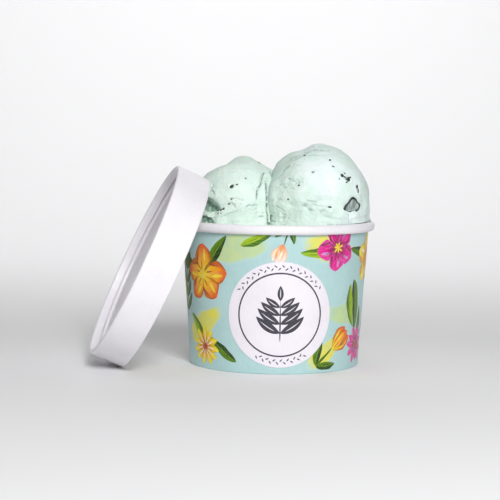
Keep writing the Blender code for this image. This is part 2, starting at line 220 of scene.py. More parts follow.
class Shader:
    """One material's node tree, with the nodes that the finishes share."""

    def __init__(self, name: str, roughness: float) -> None:
        """Starts a material.

        Args:
            name: The material's name.
            roughness: Roughness of its surface.
        """
        self.material = bpy.data.materials.new(name)
        self.material.use_nodes = True
        self.nodes = self.material.node_tree.nodes
        self.links = self.material.node_tree.links
        self.surface = self.nodes["Principled BSDF"]
        self.places = self.nodes.new("ShaderNodeTexCoord").outputs["Object"]
        self.feed(self.surface, {"Roughness": roughness})

    def feed(self, node: bpy.types.Node, inputs: Inputs) -> None:
        """Sets a node's inputs to numbers or colours, or links them to other nodes' outputs.

        Args:
            node: The node.
            inputs: What each input takes, by its name or number.
        """
        for key, value in inputs.items():
            socket = node.inputs[key]
            if isinstance(value, Socket):
                self.links.new(value, socket)
            elif socket.type == "RGBA":
                socket.default_value = (*value, 1.0)
            else:
                socket.default_value = value

    def add(self, kind: str, inputs: Inputs, operation: str = "") -> bpy.types.Node:
        """Adds a node and feeds it.

        Args:
            kind: The node's kind.
            inputs: What each input takes, by its name or number.
            operation: What a node of arithmetic works out.

        Returns:
            The node.
        """
        made = self.nodes.new("ShaderNode" + kind)
        if operation:
            made.operation = operation
        self.feed(made, inputs)
        return made

    def noise(
        self, scale: float, detail: float = 3.0, roughness: float = 0.5, places: Socket | None = None,
        distortion: float = 0.0,
    ) -> Socket:
        """Cloudy noise, mostly from 0.3 to 0.7, with so many features per metre and so many finer layers."""
        inputs = {"Vector": places or self.places, "Scale": scale, "Detail": detail, "Roughness": roughness}
        return self.add("TexNoise", inputs | {"Distortion": distortion}).outputs["Fac"]

    def stretched(self, stretch: tuple[float, float, float], places: Socket | None = None) -> Socket:
        """The piece's own places, or others, stretched along each axis."""
        return self.add("VectorMath", {0: places or self.places, 1: stretch}, "MULTIPLY").outputs[0]

    def ramp(self, share: Socket, stops: Sequence[tuple[float, Colour]]) -> Socket:
        """A run of colours.

        Args:
            share: Where to read it, from 0 to 1.
            stops: Places and their colours, in order.

        Returns:
            The colour.
        """
        made = self.add("ValToRGB", {"Fac": share})
        made.color_ramp.interpolation = "EASE"
        points = made.color_ramp.elements
        while len(points) < len(stops):
            points.new(0.5)
        for point, (place, colour) in zip(points, stops):
            point.position = place
            point.color = (*colour, 1.0)
        return made.outputs["Color"]

    def blend(self, share: object, first: object, second: object) -> Socket:
        """Two colours mixed.

        Args:
            share: Share of the second, a number or an output.
            first: A colour or an output.
            second: A colour or an output.

        Returns:
            The mixed colour.
        """
        made = self.nodes.new("ShaderNodeMix")
        made.data_type = "RGBA"
        self.feed(made, {0: share, 6: first, 7: second})
        return made.outputs[2]

    def sum(self, operation: str, first: object, second: object = 0.0, third: object = 0.0) -> Socket:
        """The result of a step of arithmetic with numbers or outputs."""
        return self.add("Math", {0: first, 1: second, 2: third}, operation).outputs[0]

    def between(
        self, value: Socket, low: float, high: float, start: float = 0.0, end: float = 1.0
    ) -> Socket:
        """A smooth rise from start at low to end at high.

        Args:
            value: The output to read.
            low: Value at which it starts.
            high: Value at which it ends.
            start: Result at low.
            end: Result at high.

        Returns:
            The result.
        """
        made = self.nodes.new("ShaderNodeMapRange")
        made.interpolation_type = "SMOOTHSTEP"
        self.feed(made, {"Value": value, "From Min": low, "From Max": high, "To Min": start, "To Max": end})
        return made.outputs["Result"]

    def painted(self) -> Socket:
        """The three paint values kept in the mesh, as one vector."""
        kept = self.nodes.new("ShaderNodeAttribute")
        kept.attribute_name = "paint"
        return kept.outputs["Vector"]

    def paint(self) -> tuple[Socket, ...]:
        """The three paint values, each apart."""
        return tuple(self.add("SeparateXYZ", {0: self.painted()}).outputs)

    def bump(self, heights: Iterable[tuple[Socket, float]]) -> None:
        """Adds fine relief.

        Args:
            heights: Pairs of a height from 0 to 1 and its depth in metres.
        """
        under: Inputs = {}
        for height, depth in heights:
            made = self.add("Bump", {"Strength": 1.0, "Distance": depth, "Height": height} | under)
            under = {"Normal": made.outputs["Normal"]}
        self.feed(self.surface, under)

    def colour(self, value: object) -> None:
        """Sets the surface's colour."""
        self.feed(self.surface, {"Base Color": value})

    def coat(self, weight: float) -> None:
        """Lays a thin satin coat over the surface."""
        self.feed(self.surface, {"Coat Weight": weight, "Coat Roughness": COAT_ROUGHNESS})

    def printed(self, colour: object) -> Material:
        """The finished material of an ink on the cup's coated board.

        Args:
            colour: The ink's colour or output.

        Returns:
            The material, with the board's coat and grain.
        """
        self.colour(colour)
        self.coat(INK_COAT)
        self.bump([(self.noise(PAPER_GRAIN, 4.0, 0.65), PAPER_GRAIN_DEPTH)])
        return self.material


PETAL_LIGHT = tone(255, 250, 225)
INK_ROUGHNESS = 0.42
INK_COAT = 0.15
COAT_ROUGHNESS = 0.3
# How finely a petal's streaks and a leaf's daubs run along it, across it and from one to the next
PETAL_STREAKS = (2.2, 3.4, 17.0)
LEAF_DAUBS = (3.0, 2.2, 23.0)
PAPER_GRAIN = 900.0  # fibres per metre
PAPER_GRAIN_DEPTH = 0.02 * MM
PAPER_WAVE = 60.0  # soft waves per metre
PAPER_WAVE_DEPTH = 0.25 * MM


@dataclass(frozen=True)
class CoatedPaper:
    """White or coloured board with a satin coat, faint fibres and a soft unevenness."""

    name: str
    pale: Colour
    deep: Colour
    roughness: float = 0.42
    coat: float = 0.15

    def make(self) -> Material:
        """Makes the material.

        Returns:
            The material.
        """
        shader = Shader(self.name, self.roughness)
        cloud = shader.noise(55.0, 4.0, 0.55)
        fibre = shader.noise(PAPER_GRAIN, 4.0, 0.65, shader.stretched((1.0, 1.0, 0.35)))
        shade = shader.sum("MULTIPLY_ADD", fibre, 0.45, shader.sum("MULTIPLY", cloud, 0.55))
        shader.colour(shader.ramp(shade, [(0.3, self.deep), (0.62, self.pale)]))
        gloss = shader.between(cloud, 0.3, 0.7, self.roughness - 0.05, self.roughness + 0.07)
        shader.feed(shader.surface, {"Roughness": gloss})
        shader.coat(self.coat)
        shader.bump([(shader.noise(PAPER_WAVE, 1.0), PAPER_WAVE_DEPTH), (fibre, PAPER_GRAIN_DEPTH)])
        return shader.material


@dataclass(frozen=True)
class PaintedPetal:
    """Ink of a petal: a run of colours from its heart to its tip, streaked along it, with a worn edge."""

    name: str
    heart: Colour
    middle: Colour
    tip: Colour
    edge: Colour
    edge_share: float = 0.75

    def make(self) -> Material:
        """Makes the material.

        Returns:
            The material.
        """
        shader = Shader(self.name, INK_ROUGHNESS)
        along, across, _ = shader.paint()
        streak = shader.noise(1.6, 5.0, 0.6, shader.stretched(PETAL_STREAKS, shader.painted()), 0.5)
        place = shader.sum("MULTIPLY_ADD", shader.sum("SUBTRACT", streak, 0.5), 0.8, along)
        body = shader.ramp(place, [(0.12, self.heart), (0.5, self.middle), (0.9, self.tip)])
        rim = shader.sum("MULTIPLY_ADD", streak, 0.5, shader.sum("ABSOLUTE", across))
        share = shader.between(rim, 0.85, 1.2, 0.0, self.edge_share)
        light = shader.between(streak, 0.42, 0.7, 0.0, 0.14)
        body = shader.blend(light, body, PETAL_LIGHT)
        return shader.printed(shader.blend(share, body, self.edge))


@dataclass(frozen=True)
class PaintedLeaf:
    """Ink of a leaf: a darker and a lighter half, a pale midrib and faint slanting veins."""

    name: str
    dark: Colour
    light: Colour
    rib: Colour

    def make(self) -> Material:
        """Makes the material.

        Returns:
            The material.
        """
        shader = Shader(self.name, INK_ROUGHNESS)
        along, across, _ = shader.paint()
        daub = shader.noise(1.4, 4.0, 0.6, shader.stretched(LEAF_DAUBS, shader.painted()), 0.6)
        lean = shader.sum("MULTIPLY_ADD", across, 0.28, daub)
        body = shader.ramp(lean, [(0.3, self.dark), (0.72, self.light)])
        away = shader.sum("ABSOLUTE", across)
        slant = shader.sum("SUBTRACT", shader.sum("MULTIPLY", along, 44.0), shader.sum("MULTIPLY", away, 9.0))
        vein = shader.between(shader.sum("SINE", slant), 0.75, 1.0, 0.0, 0.3)
        body = shader.blend(vein, body, self.rib)
        midrib = shader.between(away, 0.05, 0.12, 0.75, 0.0)
        return shader.printed(shader.blend(midrib, body, self.rib))


@dataclass(frozen=True)
class PaleWash:
    """Ink of a thin wash, which fades into the ground colour at its edges."""

    name: str
    wash: Colour
    second: Colour
    ground: Colour

    def make(self) -> Material:
        """Makes the material.

        Returns:
            The material.
        """
        shader = Shader(self.name, INK_ROUGHNESS)
        along, across, _ = shader.paint()
        cloud = shader.noise(140.0, 3.0, 0.6)
        body = shader.ramp(cloud, [(0.35, self.wash), (0.65, self.second)])
        ends = shader.sum("ABSOLUTE", shader.sum("MULTIPLY_ADD", along, 2.0, -1.0))
        away = shader.sum("MAXIMUM", shader.sum("ABSOLUTE", across), ends)
        rough = shader.sum("MULTIPLY_ADD", cloud, 0.35, away)
        return shader.printed(shader.blend(shader.between(rough, 0.8, 1.15, 0.1, 1.0), body, self.ground))


@dataclass(frozen=True)
class PlainInk:
    """Dark ink of thin lines, a little uneven as printed on paper."""

    name: str
    deep: Colour
    pale: Colour

    def make(self) -> Material:
        """Makes the material.

        Returns:
            The material.
        """
        shader = Shader(self.name, 0.5)
        grain = shader.noise(1500.0, 3.0, 0.6)
        shader.colour(shader.ramp(grain, [(0.35, self.deep), (0.7, self.pale)]))
        shader.bump([(grain, 0.01 * MM)])
        return shader.material


@dataclass(frozen=True)
class MintIceCream:
    """Pale mint ice cream, cooler or warmer as painted, with painted shade of a deeper green in hollows and
    on its sides and of a dark grey-green in cracks, icy and a bit wet.
    """

    name: str
    cool: Colour
    warm: Colour
    deep: Colour
    wet: Colour
    # The last two colours are painted shade: hollow for caves and the balls' sides and back, crack_shade for
    # creases, tears and where balls meet
    hollow: Colour
    crack_shade: Colour

    def make(self) -> Material:
        """Makes the material.

        Returns:
            The material.
        """
        shader = Shader(self.name, 0.5)
        warmth, crack_shade, hollow = shader.paint()
        cloud = shader.noise(80.0, 4.0, 0.55)
        pores = shader.noise(1100.0, 5.0, 0.7)
        crumbs = shader.noise(330.0, 4.0, 0.6, distortion=0.4)
        body = shader.blend(warmth, self.cool, self.warm)
        body = shader.blend(shader.between(cloud, 0.36, 0.62, 0.8, 0.0), body, self.deep)
        body = shader.blend(shader.between(crumbs, 0.58, 0.72, 0.0, 0.5), body, self.wet)
        # Painted shade: the hollow green, then the crack_shade grey-green, as far as the mesh's paint values
        # say
        body = shader.blend(hollow, body, self.hollow)
        shader.colour(shader.blend(crack_shade, body, self.crack_shade))
        shader.feed(shader.surface, {
            "Roughness": shader.between(crumbs, 0.35, 0.65, 0.42, 0.62),
            "Subsurface Weight": 0.2,
            "Subsurface Radius": (0.9, 1.3, 1.1),
            "Subsurface Scale": 0.4 * MM,
            "Specular IOR Level": 0.45,
        })
        shader.bump([(crumbs, 0.4 * MM), (pores, 0.12 * MM)])
        return shader.material


@dataclass(frozen=True)
class DarkChocolate:
    """Frosted dark chocolate, paler and streaked where a film of ice cream covers the middle of a shard."""

    name: str
    dark: Colour
    frost: Colour
    thin_film: Colour
    film: Colour
    film_share: float = 0.0

    def make(self) -> Material:
        """Makes the material.

        Returns:
            The material.
        """
        shader = Shader(self.name, 0.45)
        middle, _, _ = shader.paint()
        grain = shader.noise(900.0, 4.0, 0.65)
        body = shader.ramp(grain, [(0.35, self.dark), (0.75, self.frost)])
        share = shader.between(
            shader.sum("MULTIPLY_ADD", grain, 0.35, middle), 0.45, 0.95, 0.0, self.film_share
        )
        streak = shader.noise(520.0, 3.0, 0.6, shader.stretched((1.0, 1.0, 0.3)))
        film = shader.ramp(streak, [(0.38, self.thin_film), (0.62, self.film)])
        shader.colour(shader.blend(share, body, film))
        shader.bump([(grain, 0.06 * MM)])
        return shader.material


@dataclass(frozen=True)
class StudioPaper:
    """The plain pale sheet that the cup stands on."""

    name: str
    pale: Colour

    def make(self) -> Material:
        """Makes the material.

        Returns:
            The material.
        """
        shader = Shader(self.name, 0.9)
        shader.colour(self.pale)
        return shader.material


AQUA = tone(187, 220, 220)
AQUA_DEEP = tone(176, 212, 213)

AQUA_BOARD = CoatedPaper("aqua_board", AQUA, AQUA_DEEP)
WHITE_BOARD = CoatedPaper("white_board", tone(246, 243, 247), tone(238, 236, 241), 0.4, 0.2)
LABEL_PAPER = CoatedPaper("label_paper", tone(246, 240, 248), tone(239, 233, 243), 0.5, 0.05)
LABEL_INK = PlainInk("label_ink", tone(58, 56, 66), tone(78, 75, 86))
# The fifth and sixth tones are painted shade: the hollow tone for caves, sides and back, the crack tone for
# creases and contacts
MINT = MintIceCream(
    "mint_ice_cream",
    tone(236, 249, 248),
    tone(229, 246, 235),
    tone(219, 239, 230),
    tone(245, 253, 250),
    tone(134, 170, 148),
    tone(84, 108, 96),
)
CHOCOLATE = DarkChocolate(
    "frosted_chocolate", tone(32, 42, 36), tone(82, 92, 86), tone(120, 134, 128), tone(168, 182, 178), 0.0
)
FILMED_CHOCOLATE = DarkChocolate(
    "filmed_chocolate", tone(26, 34, 30), tone(60, 70, 66), tone(126, 142, 138), tone(184, 198, 194), 0.95
)
STUDIO_SHEET = StudioPaper("studio_sheet", tone(245, 245, 246))


class Ink(Enum):
    """The colours that the print's shapes come in."""

    ORANGE = PaintedPetal(
        "orange_petal_ink",
        tone(252, 214, 0), tone(248, 166, 0), tone(236, 96, 0), tone(176, 68, 0), 0.8,
    )
    YELLOW = PaintedPetal(
        "yellow_petal_ink",
        tone(220, 130, 0), tone(244, 208, 0), tone(252, 234, 30), tone(206, 158, 10), 0.6,
    )
    PEACH = PaintedPetal(
        "peach_petal_ink",
        tone(240, 140, 70), tone(248, 208, 176), tone(252, 232, 220), tone(240, 180, 150), 0.6,
    )
    MAGENTA = PaintedPetal(
        "magenta_petal_ink",
        tone(146, 0, 88), tone(226, 0, 142), tone(232, 8, 150), tone(228, 84, 178), 0.6,
    )
    LILAC = PaintedPetal(
        "lilac_petal_ink",
        tone(150, 70, 144), tone(204, 128, 196), tone(222, 160, 214), tone(204, 170, 208), 0.6,
    )
    RUST = PaintedPetal(
        "rust_line_ink",
        tone(150, 52, 10), tone(196, 78, 10), tone(216, 112, 20), tone(170, 70, 20), 0.4,
    )
    GOLD = PaintedPetal(
        "gold_line_ink",
        tone(255, 232, 60), tone(252, 222, 40), tone(250, 204, 30), tone(240, 180, 30), 0.4,
    )
    PLUM = PaintedPetal(
        "plum_line_ink",
        tone(110, 0, 70), tone(150, 0, 92), tone(176, 20, 110), tone(130, 20, 90), 0.4,
    )
    CREAM = PaintedPetal(
        "cream_line_ink",
        tone(255, 250, 226), tone(254, 244, 214), tone(252, 240, 220), tone(246, 226, 200), 0.4,
    )
    DARK_GREEN = PaintedLeaf("dark_leaf_ink", tone(10, 52, 8), tone(88, 134, 6), tone(140, 172, 30))
    BRIGHT_GREEN = PaintedLeaf("bright_leaf_ink", tone(58, 112, 6), tone(156, 192, 8), tone(200, 218, 60))
    PALE_GREEN = PaleWash("pale_green_wash", tone(202, 222, 150), tone(188, 216, 172), AQUA)
    PALE_YELLOW = PaleWash("pale_yellow_wash", tone(238, 228, 56), tone(222, 222, 110), AQUA)


# The darker and the lighter ink of the strokes laid over each petal ink
OVERLAYS = {
    Ink.ORANGE: (Ink.RUST, Ink.GOLD),
    Ink.YELLOW: (Ink.ORANGE, Ink.CREAM),
    Ink.PEACH: (Ink.ORANGE, Ink.CREAM),
    Ink.MAGENTA: (Ink.PLUM, Ink.LILAC),
    Ink.LILAC: (Ink.PLUM, Ink.CREAM),
}


# The cup


@dataclass
class PaperCup:
    """The cup: its printed side with an overlap seam at the back, its rolled rim and its base."""

    foot_radius: float = 41.5 * MM
    shoulder_radius: float = 45.95 * MM
    shoulder_height: float = 66.5 * MM
    rim_radius: float = 49.0 * MM
    rim_top: float = 71.0 * MM
    rim_width: float = 3.6 * MM
    rim_depth: float = 4.6 * MM
    board: float = 0.5 * MM
    foot_fold: float = 2.1 * MM
    foot_fold_height: float = 5.0 * MM
    foot_rounding: float = 0.4 * MM
    base_gap: float = 0.3 * MM
    under_rim: float = 0.6 * MM
    into_rim: float = 1.6 * MM
    rim_waver: float = 0.1 * MM
    segments: int = 288
    seam_turn: float = math.radians(172.0)
    seam_width: float = math.radians(9.0)
    seam_step: float = 0.28 * MM
    pose: Matrix = field(default_factory=Matrix)

    def radius(self, height: float) -> float:
        """Outer radius of the tapering side at a height."""
        return self.foot_radius + (self.shoulder_radius - self.foot_radius) * height / self.shoulder_height

    def seam_lift(self, turn: float) -> float:
        """How far the overlapping edge of the board lifts the side at a turn."""
        before = (self.seam_turn - turn) % math.tau
        return self.seam_step * (1.0 - smooth_step(before, self.seam_width * 0.25, self.seam_width))

    def on_side(self, turn: float, height: float, lift: float = 0.0) -> Vector:
        """A point of the side, at a turn and height."""
        return polar(self.radius(height) + self.seam_lift(turn) + lift, turn, height)

    def side_turns(self) -> list[float]:
        """Turns of the side's columns from the seam all the way round, with a close pair at its edge."""
        turns = [self.seam_turn + turn for turn in turns_round(self.segments)]
        return [turns[0], turns[0] + 0.0006] + turns[1:]

    def build_side(self, finish: Material) -> None:
        """Builds the side as one closed shell: outside, foot fold and inside.

        Args:
            finish: The printed board.
        """
        foot_middle = (self.foot_radius - self.foot_rounding, self.foot_rounding)
        outside = arc(foot_middle, (self.foot_rounding, self.foot_rounding), -90, 0, 4)
        outside = [(radius - self.radius(max(0.0, height)), height) for radius, height in outside]
        steps = 24
        top = self.shoulder_height + self.into_rim
        outside += [(0.0, top * step / steps) for step in range(1, steps + 1)]
        inside = [
            (-self.board, top),
            (-self.board, self.foot_fold_height),
            (-self.foot_fold, self.foot_fold_height),
            (-self.foot_fold, 0.0),
        ]
        surface = Surface()
        rows = []
        for number, (inset, height) in enumerate(outside + inside):
            row = []
            for turn in self.side_turns():
                lift = self.seam_lift(turn) if number < len(outside) else 0.0
                if number < 3:
                    lift = 0.0
                row.append(surface.corner(polar(self.radius(height) + inset + lift, turn, height)))
            rows.append(row)
        surface.bands(rows + [rows[0]], ring=True)
        set_in_place(surface.piece("cup_side", finish), self.pose, "cup_wall")

    def build_rim(self, finish: Material) -> None:
        """Builds the rim as board rolled outwards, with its edge tucked in under the roll.

        Args:
            finish: The white board.
        """
        middle = (self.rim_radius - self.rim_width / 2, self.rim_top - self.rim_depth / 2)
        half = (self.rim_width / 2, self.rim_depth / 2)
        inner_half = (half[0] - self.board, half[1] - self.board)
        outside = arc(middle, half, 180, -150, 44)
        inside = arc(middle, inner_half, -150, 180, 44)
        foot = [
            (middle[0] - inner_half[0], self.shoulder_height - self.under_rim),
            (middle[0] - half[0], self.shoulder_height - self.under_rim),
        ]
        surface = Surface()
        surface.turn(outside + inside + foot, self.segments, closed=True)
        for place in surface.corners:
            turn = math.atan2(place.x, -place.y)
            waver = self.rim_waver * noise.noise(Vector((math.sin(turn), math.cos(turn), 3.0)) * 2.2)
            if place.z > self.shoulder_height:
                place.z += waver - 0.02 * MM
        set_in_place(surface.piece("cup_rim", finish), self.pose)

    def build_base(self, finish: Material) -> None:
        """Builds the base, its edge turned down inside the folded foot.

        Args:
            finish: The white board.
        """
        underside = self.foot_fold_height + self.base_gap
        radius = self.foot_radius - self.board
        outline = [
            (0.0, underside + self.board),
            (radius * 0.5, underside + self.board),
            (radius - 0.3 * MM, underside + self.board),
            (radius, underside + self.board - 0.2 * MM),
            (radius, underside),
            (radius * 0.5, underside),
            (0.0, underside),
        ]
        surface = Surface()
        surface.turn(outline, self.segments, closed=False)
        set_in_place(surface.piece("cup_base_disc", finish), self.pose, "cup_base")

    def build(self) -> None:
        """Builds and dresses the whole cup."""
        white = WHITE_BOARD.make()
        self.build_side(AQUA_BOARD.make())
        self.build_rim(white)
        self.build_base(white)


# The print on its side


@dataclass
class Brush:
    """Lays painted shapes on a curved sheet, each a hair above the last."""

    sheet: Sheet
    lift: float
    step: float = 0.004 * MM
    along_steps: int = 16
    across_steps: int = 6
    roundness: float = 0.75
    unevenness: float = 0.3

    def stroke(
        self, surface: Surface, start: Place, heading: float, length: float, width: float,
        bend: float = 0.0, belly: float = 0.8, seed: float = 0.0,
    ) -> None:
        """Paints one petal or leaf: a shape that is pointed or round at its ends, along a bent line.

        Args:
            surface: The mesh that it is added to.
            start: Across and up, where it starts.
            heading: Direction in which it sets off, from across towards up.
            length: Its length.
            width: Its greatest width.
            bend: How far its line turns over the whole length.
            belly: Above 1 for a waist near the start, below 1 for a full start.
            seed: Number that varies its streaks.
        """
        at = list(start)
        rows: list[list[int]] = []
        first = surface.corner(self.sheet(at[0], at[1], self.lift), (0.0, 0.0, seed))
        step = length / self.along_steps
        for number in range(1, self.along_steps):
            share = number / self.along_steps
            angle = heading + bend * share
            at[0] += step * math.cos(angle)
            at[1] += step * math.sin(angle)
            half = width / 2 * max(0.02, math.sin(math.pi * share**belly)) ** self.roundness
            row = []
            for side in range(self.across_steps + 1):
                out = 1.0 - 2.0 * side / self.across_steps
                ripple = noise.noise(Vector((3.4 * share, out, 37.0 * seed)))
                reach = half * out * (1.0 + self.unevenness * ripple)
                across = at[0] - math.sin(angle) * reach
                up = at[1] + math.cos(angle) * reach
                row.append(surface.corner(self.sheet(across, up, self.lift), (share, out, seed)))
            rows.append(row)
        at[0] += step * math.cos(heading + bend)
        at[1] += step * math.sin(heading + bend)
        last = surface.corner(self.sheet(at[0], at[1], self.lift), (1.0, 0.0, seed))
        surface.fan(first, rows[0], ring=False)
        surface.bands([row[::-1] for row in rows], ring=False)
        surface.fan(last, rows[-1][::-1], ring=False)
        self.lift += self.step


class Motif(Enum):
    """The print's shapes."""

    BLOSSOM = "blossom"
    DAISY = "daisy"
    SPRIG = "sprig"
    LEAF = "leaf"
    BUD = "bud"


@dataclass(frozen=True)
class Spray:
    """One shape of the print, where it stands on the side and how it is painted."""

    motif: Motif
    turn_degrees: float
    height: float
    size: float
    lean_degrees: float
    ink: Ink
    second: Ink = Ink.DARK_GREEN


PRINT_SEED = 5
# The turn, the height and size in millimetres, the lean and the inks of each shape, the second dark green
# where none is named
SPRAYS = tuple(Spray(*row) for row in (
    (Motif.LEAF, -2, 63, 36, 186, Ink.PALE_GREEN),
    (Motif.LEAF, 14, 64, 34, -22, Ink.PALE_YELLOW),
    (Motif.LEAF, -74, 14, 34, 20, Ink.PALE_YELLOW),
    (Motif.LEAF, 70, 30, 30, 200, Ink.PALE_GREEN),
    (Motif.LEAF, 20, 3, 26, 20, Ink.PALE_YELLOW),
    (Motif.LEAF, -22, 61, 20, 12, Ink.BRIGHT_GREEN),
    (Motif.SPRIG, -78, 22, 34, 84, Ink.DARK_GREEN),
    (Motif.BLOSSOM, -51, 46, 14.0, 20, Ink.ORANGE),
    (Motif.DAISY, -52, 11, 10.0, 60, Ink.YELLOW, Ink.BRIGHT_GREEN),
    (Motif.LEAF, -26, 5, 19, 150, Ink.DARK_GREEN),
    (Motif.BUD, 4, 62, 9.0, 250, Ink.PEACH),
    (Motif.BLOSSOM, 40, 60, 11.5, 50, Ink.MAGENTA, Ink.BRIGHT_GREEN),
    (Motif.LEAF, 58, 44, 27, -62, Ink.DARK_GREEN),
    (Motif.LEAF, 55, 42, 22, 262, Ink.BRIGHT_GREEN),
    (Motif.BUD, 40, 11, 13.0, 38, Ink.ORANGE),
    (Motif.DAISY, 68, 12, 9.5, 15, Ink.MAGENTA),
    (Motif.BLOSSOM, 78, 54, 12.0, 15, Ink.YELLOW),
    (Motif.LEAF, 98, 40, 26, 250, Ink.BRIGHT_GREEN),
    (Motif.BUD, 92, 12, 13.0, 80, Ink.LILAC, Ink.BRIGHT_GREEN),
    (Motif.LEAF, 104, 58, 32, -14, Ink.PALE_GREEN),
    (Motif.DAISY, 112, 55, 10.0, 30, Ink.PEACH),
    (Motif.BLOSSOM, 122, 24, 13.5, 0, Ink.ORANGE),
    (Motif.LEAF, 142, 30, 30, 60, Ink.PALE_YELLOW),
    (Motif.BUD, 146, 52, 12.0, 120, Ink.YELLOW, Ink.BRIGHT_GREEN),
    (Motif.SPRIG, 156, 6, 30, 70, Ink.BRIGHT_GREEN),
    (Motif.BLOSSOM, 188, 30, 12.5, 50, Ink.MAGENTA),
    (Motif.LEAF, 184, 60, 32, 16, Ink.PALE_GREEN),
    (Motif.LEAF, 198, 64, 24, 220, Ink.DARK_GREEN),
    (Motif.BLOSSOM, 218, 52, 13.0, 15, Ink.ORANGE, Ink.BRIGHT_GREEN),
    (Motif.DAISY, 216, 12, 9.5, 15, Ink.YELLOW),
    (Motif.LEAF, 236, 10, 30, 70, Ink.PALE_YELLOW),
    (Motif.SPRIG, 244, 62, 30, -70, Ink.BRIGHT_GREEN),
    (Motif.BUD, 252, 12, 13.0, 55, Ink.PEACH),
    (Motif.BLOSSOM, 268, 44, 12.0, 40, Ink.YELLOW),
))


